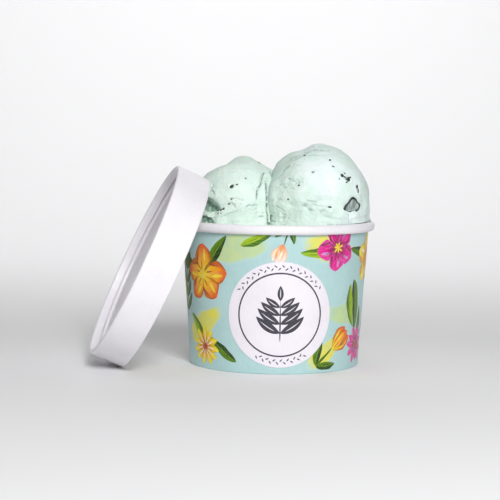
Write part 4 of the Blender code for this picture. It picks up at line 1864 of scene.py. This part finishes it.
    def place_chips(self) -> None:
        """Lays out the tears and the chips: the front ones as listed, the others over the top and the back.
        """
        draw = random.Random(CHIP_SEED)
        self.cuts = list(self.creases)
        for patch in self.patches:
            self.cuts += patch.short_tears(draw)
        self.chips = [place.chip(self.radius) for place in self.front_chips]
        for number in range(BACK_CHIPS):
            rise = 0.92 - 0.95 * number / BACK_CHIPS
            turn = number * math.pi * (3.0 - math.sqrt(5.0))
            level = math.sqrt(1.0 - rise**2)
            x, y = reached(level, turn)
            towards = Vector((x, abs(y) + BACK_SHIFT, rise)).normalized()
            if towards.x * self.away < -NEXT_SCOOP:
                towards.x *= -1
            length = draw.uniform(1.8, 4.2)
            width = length * draw.uniform(0.5, 0.8)
            spin = math.radians(draw.uniform(0, 180))
            self.chips.append(Chip(towards, length * MM, width * MM, spin))

    def build_ball(
        self, finish: Material, pose: Matrix, blocks: Callable[[Vector], bool] | None
    ) -> None:
        """Builds the ball and its foot as one closed surface.

        Args:
            finish: The ice cream.
            pose: Where the cup's axis stands.
            blocks: Says whether something else takes up a place.
        """
        surface = Surface()
        rows = []
        for ring in range(self.foot_rings + self.dome_rings):
            radius, rise = self.row(ring)
            row = []
            for side in range(self.sides):
                even = math.tau * side / self.sides
                offset = polar(radius, even - self.crowding * math.sin(even), rise)
                place, outward, paint = self.surface_point(offset)
                if blocks:
                    free = self.kept_clear(place, outward, blocks)
                    # Painted shade where the ball is drawn back from its neighbour or the lid, laid as crack
                    # shade
                    pressed = (place - free).length / PRESSED_SHADE_DEPTH
                    paint = (paint[0], max(paint[1], smooth_step(pressed, 0.0, 1.0)), paint[2])
                    place = free
                if place.z < self.mouth_height and place.xy.length > self.mouth_radius:
                    place.xy *= self.mouth_radius / place.xy.length
                row.append(surface.corner(place, paint))
            rows.append(row)
        surface.bands(rows, ring=True)
        crown, _, paint = self.surface_point(Vector((0.0, 0.0, self.radius)))
        surface.fan(surface.corner(crown, paint), rows[-1], ring=True)
        foot = sum((surface.corners[corner] for corner in rows[0]), Vector()) / self.sides
        surface.fan(surface.corner(foot), rows[0], ring=True)
        piece = surface.piece(self.name, finish, sharp_degrees=180.0)
        set_in_place(piece, pose, self.node)

    def shard(
        self, surface: Surface, chip: Chip, draw: random.Random, thickness: float, proud: float
    ) -> None:
        """Adds one irregular flat shard, half sunk in the surface.

        Args:
            surface: The mesh that it is added to.
            chip: Its direction, size and turn.
            draw: Source of its irregular edge.
            thickness: Its thickness.
            proud: How far its face stands out of the ice cream.
        """
        place, _, _ = self.surface_point(chip.towards * self.radius)
        lean = chip.towards.to_track_quat("Z", "Y").to_matrix().to_4x4()
        pose = Matrix.Translation(place) @ lean @ Matrix.Rotation(chip.turn, 4, "Z")
        outline = list(chip.outline)
        for side in range(0 if outline else SHARD_SIDES):
            angle = math.tau * (side + draw.uniform(-0.3, 0.3)) / SHARD_SIDES
            outline.append(reached(draw.uniform(0.6, 1.15), angle))
        rows = []
        for depth, share, paint in SHARD_LEVELS:
            height = proud - depth * thickness
            row = []
            for x, y in outline:
                spot = Vector((0.5 * chip.length * x * share, 0.5 * chip.width * y * share, height))
                bare = smooth_step(abs(x) - 0.4 * y, 0.35, 0.75) if y < 0.0 else 1.0
                row.append(surface.corner(pose @ spot, (max(paint, 0.7 * (1.0 - bare)), 0.0, 0.0)))
            rows.append(row)
        surface.bands(rows, ring=True)
        surface.fan(surface.corner(pose @ Vector((0, 0, proud - thickness))), rows[0], ring=True)
        top = surface.corner(pose @ Vector((0, 0, proud)), (1.0, 0.0, 0.0))
        surface.fan(top, rows[-1], ring=True)

    def build_chips(self, chocolate: Material, filmed: Material, pose: Matrix) -> None:
        """Builds the chips, the large ones with a film of ice cream on them, and the smallest flecks.

        Args:
            chocolate: Finish of the small chips.
            filmed: Finish of the large ones.
            pose: Where the cup's axis stands.
        """
        draw = random.Random(CHIP_SEED + 1)
        small, large = Surface(), Surface()
        for chip in self.chips:
            if chip.filmed:
                self.shard(large, chip, draw, BIG_THICKNESS, BIG_PROUD + 0.05 * chip.length)
            else:
                self.shard(small, chip, draw, CHIP_THICKNESS, CHIP_PROUD)
        for _ in range(FLECKS):
            towards = Vector((draw.gauss(0, 1), draw.gauss(0, 1), draw.gauss(0.25, 0.8))).normalized()
            hidden = towards.z < -0.35 or towards.x * self.away < -0.75
            if hidden or (towards.y < -0.2 and draw.random() < 0.7):
                continue
            length = draw.uniform(0.3, 0.9) * MM
            fleck = Chip(towards, length, length * draw.uniform(0.5, 0.9), draw.uniform(0.0, math.pi))
            self.shard(small, fleck, draw, FLECK_THICKNESS, FLECK_PROUD)
        set_in_place(small.piece(self.name + "_chips", chocolate), pose)
        if large.faces:
            set_in_place(large.piece(self.name + "_big_chip", filmed), pose)


RIGHT_SCOOP = Scoop(
    name="right_scoop",
    node="scoop_right",
    centre=Vector((21.2, -6.0, 83.2)) * MM,
    radius=24.7 * MM,
    bumps=(
        Bump((0.00, -0.05, 1.00), 0.24, 0.9),
        Bump((-0.78, 0.00, 0.62), 0.30, 1.7),
        Bump((-0.36, 0.05, 0.92), 0.13, -1.4),
        Bump((-0.36, -0.28, 0.89), 0.15, -1.1),
        Bump((-0.36, 0.38, 0.87), 0.15, -1.1),
        Bump((0.80, 0.00, 0.58), 0.32, -1.2),
        Bump((0.10, 0.90, 0.30), 0.45, 1.2),
        Bump((-0.45, -0.80, 0.05), 0.28, 0.7),
        Bump((0.35, -0.90, -0.25), 0.30, 0.5),
        Bump((-0.89, -0.46, 0.06), 0.30, 2.7),
        Bump((-0.88, -0.44, -0.30), 0.26, 2.0),
    ),
    creases=(
        Crease(((-15.6, 17.6), (-13.0, 19.2), (-9.3, 20.9), (-3.5, 22.8), (4.0, 22.4)), -0.5, 0.35, 0.4),
        Crease(((-12.0, 18.4), (-8.0, 20.0), (-3.6, 20.6), (1.0, 20.4)), -0.3, 0.3, 0.22),
        Crease(((-17.2, 13.6), (-15.4, 14.8)), -0.4, 0.3, 0.4),
        Crease(((12.9, -7.6), (13.1, -9.5), (13.0, -12.0)), -0.3, 0.24, 0.4),
        Crease(((-6.9, -1.2), (-5.0, -1.5), (-2.4, -1.8)), -0.6, 0.32, 0.55),
        Crease(((-9.4, -3.5), (-7.6, -4.1), (-6.2, -5.2), (-3.8, -5.9)), -0.5, 0.28, 0.45),
        Crease(((-4.6, -3.0), (-2.0, -3.6), (1.6, -4.0)), -0.4, 0.4, 0.15),
        Crease(((-15.4, 8.9), (-13.6, 8.3), (-11.9, 7.3)), -0.5, 0.3, 0.5),
        Crease(((-11.4, 6.6), (-10.9, 7.6), (-10.2, 6.4)), -0.4, 0.3, 0.5),
        Crease(((-19.6, -4.4), (-17.8, -5.6), (-16.8, -6.8)), -0.5, 0.3, 0.4),
        Crease(((2.0, -8.8), (8.0, -9.8), (15.0, -10.2), (22.8, -9.0)), -0.4, 0.5, 0.12),
        Crease(((-2.0, -11.3), (6.0, -11.6), (13.0, -11.5), (23.0, -9.9)), -0.3, 0.35, 0.12),
        Crease(((3.0, -12.5), (13.0, -12.6), (19.0, -12.3), (24.0, -11.4)), -0.5, 0.32, 0.75),
        Crease(((-17.8, 12.6), (-19.9, 8.6)), -0.5, 0.35, 0.25),
    ),
    ledges=(
        Ledge(((-24.0, -8.0), (-18.0, -8.6), (-12.0, -10.4), (-4.0, -11.0)), 0.5, 3.0),
        Ledge(((-20.0, 5.6), (-15.0, 4.0), (-11.0, 3.2)), 0.4, 2.6),
        Ledge(((-6.9, -1.4), (-2.4, -2.0), (1.6, -4.2)), 0.3, 2.2),
    ),
    patches=(
        TornPatch(-18.2, -2.3, 5.0, 0.2, 0.0, 7),
        TornPatch(-19.4, 5.0, 3.8, 0.25, 0.1, 4),
        TornPatch(-12.8, 6.8, 3.4, 0.5, 0.25, 7),
        TornPatch(-5.4, -4.0, 3.6, 0.45, 0.2, 8),
        TornPatch(0.4, -6.6, 2.4, 0.3, 0.1, 4),
        TornPatch(-17.0, -9.6, 4.0, 0.35, 0.1, 6),
        TornPatch(-20.8, -10.4, 2.6, 0.7, 0.6, 5),
        TornPatch(-13.0, 15.8, 3.2, 0.35, 0.0, 4),
    ),
    front_chips=tuple(FrontChip(*row) for row in (
        (14.7, -3.5, 10.6, 7.4, 2, True, HUMPED_SHARD),
        (10.0, 10.8, 1.9, 1.7, -32),
        (11.2, 11.7, 1.3, 0.7, -40),
        (13.0, 8.9, 2.4, 2.6, -50),
        (13.9, 9.8, 1.2, 0.9, 30),
        (11.6, 9.6, 2.6, 1.5, -40, True),
        (12.1, 7.6, 1.2, 0.7, 20),
        (17.4, 5.3, 2.8, 1.1, 70),
        (17.9, 3.3, 2.6, 0.7, 84),
        (3.9, -4.6, 2.4, 2.3, 20),
        (3.0, -3.9, 0.9, 0.4, -35),
        (-4.1, 12.3, 1.5, 1.3, 0, True),
        (4.2, 17.9, 1.3, 1.1, 45),
        (5.7, 14.9, 1.5, 0.9, -20, True),
        (-10.6, 5.8, 1.3, 0.8, 30),
        (-14.9, -0.9, 1.1, 0.8, 10),
        (-7.9, 20.2, 1.2, 0.7, 10),
        (-4.4, -11.2, 1.0, 0.5, 5),
    )),
    warmth=(-16.0, 5.0),
    away=1.0,
)
LEFT_SCOOP = Scoop(
    name="left_scoop",
    node="scoop_left",
    centre=Vector((-17.0, 0.5, 79.0)) * MM,
    radius=22.8 * MM,
    bumps=(
        Bump((-0.50, 0.00, 0.87), 0.26, -3.0),
        Bump((0.48, 0.00, 0.88), 0.22, -1.9),
        Bump((-0.36, 0.02, 0.93), 0.16, -1.2),
        Bump((-0.36, -0.30, 0.88), 0.16, -1.0),
        Bump((-0.36, 0.34, 0.87), 0.16, -1.2),
        Bump((0.05, -0.10, 1.00), 0.20, 0.9),
        Bump((-0.03, -0.97, -0.22), 0.34, 1.4),
        Bump((-0.62, -0.76, -0.10), 0.22, -1.6),
        Bump((-0.30, 0.90, 0.20), 0.40, 1.0),
    ),
    folds=(Fold(20.0, 3.0, -0.3), Fold(29.0, 5.5, 1.0)),
    creases=(
        Crease(((10.9, 15.6), (9.7, 12.9), (9.0, 9.9), (7.6, 7.0), (7.2, 3.2)), -1.1, 0.32, 0.85),
        Crease(((9.4, 14.6), (8.6, 12.4), (8.4, 10.6)), -0.4, 0.28, 0.3),
        Crease(((14.2, 15.9), (15.0, 13.6), (16.4, 11.6)), -0.9, 0.35, 0.8),
        Crease(((11.7, 10.2), (11.9, 4.9), (12.2, -3.2), (12.5, -9.0)), -1.3, 0.55, 1.0),
        Crease(((-5.4, 3.0), (-2.0, 3.4), (1.0, 2.4)), -0.35, 0.3, 0.28),
        Crease(((2.4, -0.5), (3.6, 0.2), (5.0, -0.3), (6.2, 0.2), (7.6, -0.1)), -0.6, 0.3, 0.55),
        Crease(((3.4, -1.7), (5.4, -2.0), (7.6, -1.6)), -0.35, 0.3, 0.25),
        Crease(((-14.0, 9.6), (-15.0, 7.0), (-13.2, 4.9)), -0.6, 0.38, 0.45),
        Crease(((-9.0, -6.0), (-5.6, -4.1), (-1.4, -2.7)), -0.5, 0.32, 0.35),
        Crease(((-5.0, -8.2), (0.0, -7.6), (6.0, -7.9)), -0.3, 0.45, 0.1),
    ),
    ledges=(
        Ledge(((-10.8, -5.7), (-6.7, -3.4), (0.3, -1.5), (5.7, -1.7), (10.0, -4.0)), 1.1, 5.0),
        Ledge(((-8.6, 1.4), (-5.0, 2.6), (-1.0, 2.4)), 0.35, 2.4),
    ),
    patches=(
        TornPatch(-15.0, -7.6, 3.4, 0.9, 0.6, 6),
        TornPatch(-5.6, 0.4, 2.8, 0.5, 0.3, 6),
        TornPatch(-1.0, -0.4, 2.4, 0.35, 0.0, 4),
        TornPatch(-14.4, 6.6, 2.6, 0.5, 0.2, 5),
        TornPatch(9.0, -4.0, 2.4, 0.3, 0.0, 3),
        TornPatch(12.4, 12.4, 2.4, 0.3, 0.0, 3),
    ),
    caves=(
        Cave(
            (
                (-19.5, 4.6), (-15.5, 3.6), (-13.2, 3.2), (-10.8, 0.6), (-8.4, -2.3), (-9.6, -3.5),
                (-10.6, -3.1),
                (-11.6, -4.3), (-12.8, -3.5), (-13.7, -4.6), (-15.0, -3.8), (-16.2, -4.7), (-17.4, -3.9),
                (-19.5, -5.0), (-22.5, 0.0),
            ),
            3.4,
            0.7,
            (-11.2, 1.4),
            (-15.6, -3.0),
        ),
        Cave(
            (
                (-20.0, -5.6), (-16.8, -5.3), (-15.2, -6.3), (-13.6, -6.2), (-12.2, -7.6), (-10.8, -8.6),
                (-9.6, -11.4), (-12.0, -12.6), (-20.0, -12.6),
            ),
            2.6,
            0.8,
            (-11.6, -6.4),
            (-15.6, -9.4),
        ),
        Cave(
            ((11.7, -8.4), (13.4, -8.0), (14.8, -9.8), (14.4, -12.4), (11.4, -12.4)),
            2.4,
            0.7,
            (13.0, -7.2),
            (13.2, -9.2),
        ),
    ),
    front_chips=tuple(FrontChip(*row) for row in (
        (-4.7, 8.9, 2.6, 1.7, 55),
        (-2.2, 9.8, 1.5, 0.8, 30),
        (2.0, 12.8, 1.0, 0.8, 0),
        (-4.7, 2.8, 1.3, 0.8, 50),
        (-5.9, 0.5, 1.5, 1.0, 30),
        (-8.3, -1.9, 1.5, 1.0, 30),
        (-9.4, -2.6, 1.6, 0.9, -10),
        (-9.4, -4.0, 1.8, 0.6, 50),
        (-10.8, -4.5, 1.7, 0.7, -25),
        (0.3, -10.6, 1.3, 0.6, 20),
        (1.4, -8.6, 0.8, 0.4, 40),
    )),
    warmth=(14.0, 34.0),
    away=-1.0,
)


@dataclass
class IceCreamBed:
    """The ice cream packed into the cup, its top showing round the scoops."""

    cup: PaperCup
    scoops: tuple[Scoop, Scoop]
    level: float = 69.3 * MM
    dip: float = 2.2 * MM
    swell: float = 4.0 * MM
    slope: float = 7.0 * MM
    clear: float = 1.4
    inset: float = 0.62 * MM
    crumb_size: float = 4.0 * MM
    crumb_height: float = 0.45 * MM
    crumb_fade: float = 2.5 * MM
    foot: float = 6.1 * MM
    segments: int = 256
    rings: int = 64

    def top(self, x: float, y: float) -> float:
        """Height of the top at a place.

        Args:
            x: Place along X from the cup's axis.
            y: Place along Y from the cup's axis.

        Returns:
            The height.
        """
        clear = 1.0
        for scoop in self.scoops:
            reach = math.hypot(x - scoop.centre.x, y - scoop.centre.y)
            clear = min(clear, smooth_step(reach, scoop.radius + SKIRT_REACH, scoop.radius * self.clear))
        ripple = 0.5 + 0.5 * noise.noise(Vector((x, y, 0.0)) / LUMP_SIZE)
        to_wall = self.cup.radius(self.level) - math.hypot(x, y)
        heaped = smooth_step(y, 0.0, 2 * self.slope) * smooth_step(to_wall, 0.0, self.slope)
        height = self.level + clear * (self.swell * heaped - self.dip * (1.0 - heaped)) * ripple
        place = Vector((x, y, 0.03))
        crumbs = noise.ridged_multi_fractal(place / self.crumb_size, 0.9, 2.2, 4, 1.0, 1.3) - 0.8
        return height + self.crumb_height * crumbs * smooth_step(to_wall, 0.0, self.crumb_fade)

    def build(self, finish: Material) -> None:
        """Builds the bed as one closed surface.

        Args:
            finish: The ice cream.
        """
        edge_height = self.level - self.dip
        edge_radius = self.cup.radius(edge_height) - self.inset
        foot_radius = self.cup.radius(self.foot)
        outline = (
            (foot_radius - self.inset, self.foot),
            ((foot_radius + edge_radius) / 2 - self.inset / 2, (self.foot + edge_height) / 2),
            (edge_radius, edge_height),
        )
        surface = Surface()
        turns = turns_round(self.segments)
        rows = [[surface.corner(polar(radius, turn, height)) for turn in turns] for radius, height in outline]
        for ring in range(self.rings - 1, 0, -1):
            radius = edge_radius * ring / self.rings
            row = []
            for turn in turns:
                spot = polar(radius, turn, 0.0)
                spot.z = self.top(spot.x, spot.y)
                row.append(surface.corner(spot, BED_PAINT))
            rows.append(row)
        surface.bands(rows, ring=True)
        surface.fan(surface.corner(Vector((0, 0, self.top(0.0, 0.0)))), rows[-1], ring=True)
        surface.fan(surface.corner(Vector((0, 0, self.foot))), rows[0], ring=True)
        piece = surface.piece("packed_ice_cream", finish, sharp_degrees=60.0)
        set_in_place(piece, self.cup.pose, "ice_cream_bed")


@dataclass
class IceCream:
    """All the ice cream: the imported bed, both scoops and the chocolate in them."""

    cup: PaperCup
    lid: LeaningLid
    neighbour_clearance: float = 0.12 * MM
    lid_clearance: float = 0.15 * MM

    def blocked(self, place: Vector) -> bool:
        """Whether the right scoop or the lid takes up a place that the left scoop would fill."""
        if place.x > -8.0 * MM and RIGHT_SCOOP.covers(place, self.neighbour_clearance):
            return True
        return place.x < -18.0 * MM and self.lid.pressed_by(place, self.lid_clearance)

    def build(self) -> None:
        """Builds and dresses all the ice cream."""
        mint, chocolate, filmed = MINT.make(), CHOCOLATE.make(), FILMED_CHOCOLATE.make()
        IceCreamBed(self.cup, (LEFT_SCOOP, RIGHT_SCOOP)).build(mint)
        for scoop, blocks in ((RIGHT_SCOOP, None), (LEFT_SCOOP, self.blocked)):
            scoop.place_chips()
            scoop.build_ball(mint, self.cup.pose, blocks)
            scoop.build_chips(chocolate, filmed, self.cup.pose)


# The studio


@dataclass(frozen=True)
class SoftBox:
    """A large square studio light."""

    name: str
    place: tuple[float, float, float]
    size: float
    power: float
    aim: tuple[float, float, float] = (0.0, 0.0, 0.05)


@dataclass
class Studio:
    """The pale sheet, the soft lights and the camera."""

    axis: Vector
    front: float = -4.6
    bend: float = 0.6
    wall_top: float = 2.2
    half_width: float = 4.6
    under: float = 0.05 * MM
    sky_strength: float = 0.07
    lights: tuple[SoftBox, ...] = (
        SoftBox("key_light", (0.20, -1.00, 0.60), 0.38, 10.2),
        SoftBox("top_light", (0.00, -0.10, 1.20), 1.0, 2.2),
        SoftBox("wall_light", (0.00, 0.50, 1.10), 1.2, 9.5, (0.0, 1.2, 0.85)),
    )
    camera_place: tuple[float, float, float] = (-12.48 * MM, -814.27 * MM, 117.70 * MM)
    lens: float = 118.54
    sensor: float = 36.0
    pitch: float = math.radians(4.3516)
    roll: float = math.radians(0.7028)

    def build_sheet(self) -> None:
        """Builds the floor, curving up into a back wall."""
        outline = [(self.front, 0.0)]
        outline += arc((self.bend, self.bend), (self.bend, self.bend), -90, 0, 12)
        outline.append((2 * self.bend, self.wall_top))
        surface = Surface()
        edges = (-self.half_width, 0.0, self.half_width)
        rows = [[surface.corner(Vector((x, y, z - self.under))) for x in edges] for y, z in outline]
        surface.bands(rows, ring=False)
        sheet = surface.piece("studio_sheet", STUDIO_SHEET.make(), closed=False, sharp_degrees=60.0)

    def build_lights(self) -> None:
        """Sets up the lights and the even glow of the room."""
        for box in self.lights:
            light = bpy.data.lights.new(box.name, "AREA")
            light.shape = "SQUARE"
            light.size = box.size
            light.energy = box.power
            lamp = bpy.data.objects.new(box.name, light)
            lamp.location = box.place
            lamp.rotation_euler = (Vector(box.aim) - Vector(box.place)).to_track_quat("-Z", "Y").to_euler()
            bpy.context.collection.objects.link(lamp)
        world = bpy.data.worlds.new("room_glow")
        world.use_nodes = True
        glow = world.node_tree.nodes["Background"]
        glow.inputs["Color"].default_value = (1.0, 1.0, 1.0, 1.0)
        glow.inputs["Strength"].default_value = self.sky_strength
        bpy.context.scene.world = world

    def build_camera(self) -> None:
        """Sets up the camera at the usual view."""
        forward = Vector((0.0, math.cos(self.pitch), -math.sin(self.pitch)))
        upright = Vector((0.0, math.sin(self.pitch), math.cos(self.pitch)))
        sideways = Vector((1.0, 0.0, 0.0))
        right = math.cos(self.roll) * sideways + math.sin(self.roll) * upright
        up = -math.sin(self.roll) * sideways + math.cos(self.roll) * upright
        lens = bpy.data.cameras.new("usual_view")
        lens.lens = self.lens
        lens.sensor_width = self.sensor
        lens.clip_start = 0.01
        camera = bpy.data.objects.new("usual_view", lens)
        turn = Matrix((right, up, -forward)).transposed().to_4x4()
        camera.matrix_world = Matrix.Translation(Vector(self.camera_place) + self.axis) @ turn
        bpy.context.collection.objects.link(camera)
        bpy.context.scene.camera = camera

    def build(self) -> None:
        """Sets up the whole studio."""
        bpy.context.scene.view_settings.view_transform = "Standard"
        self.build_sheet()
        self.build_lights()
        self.build_camera()


def main() -> None:
    """Builds the studio and the dressed cup, piece by piece."""
    logging.basicConfig(level=logging.INFO, format="%(name)s: %(message)s")
    low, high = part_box("cup_wall")
    axis = (Vector(low) + Vector(high)) / 2
    axis.z = 0.0
    Studio(axis).build()
    cup = PaperCup(pose=Matrix.Translation(axis))
    cup.build()
    BotanicalPrint(cup).build()
    RoundLabel(cup).build()
    lid = LeaningLid(cup.pose)
    lid.build()
    IceCream(cup, lid).build()


if __name__ == "__main__":
    main()
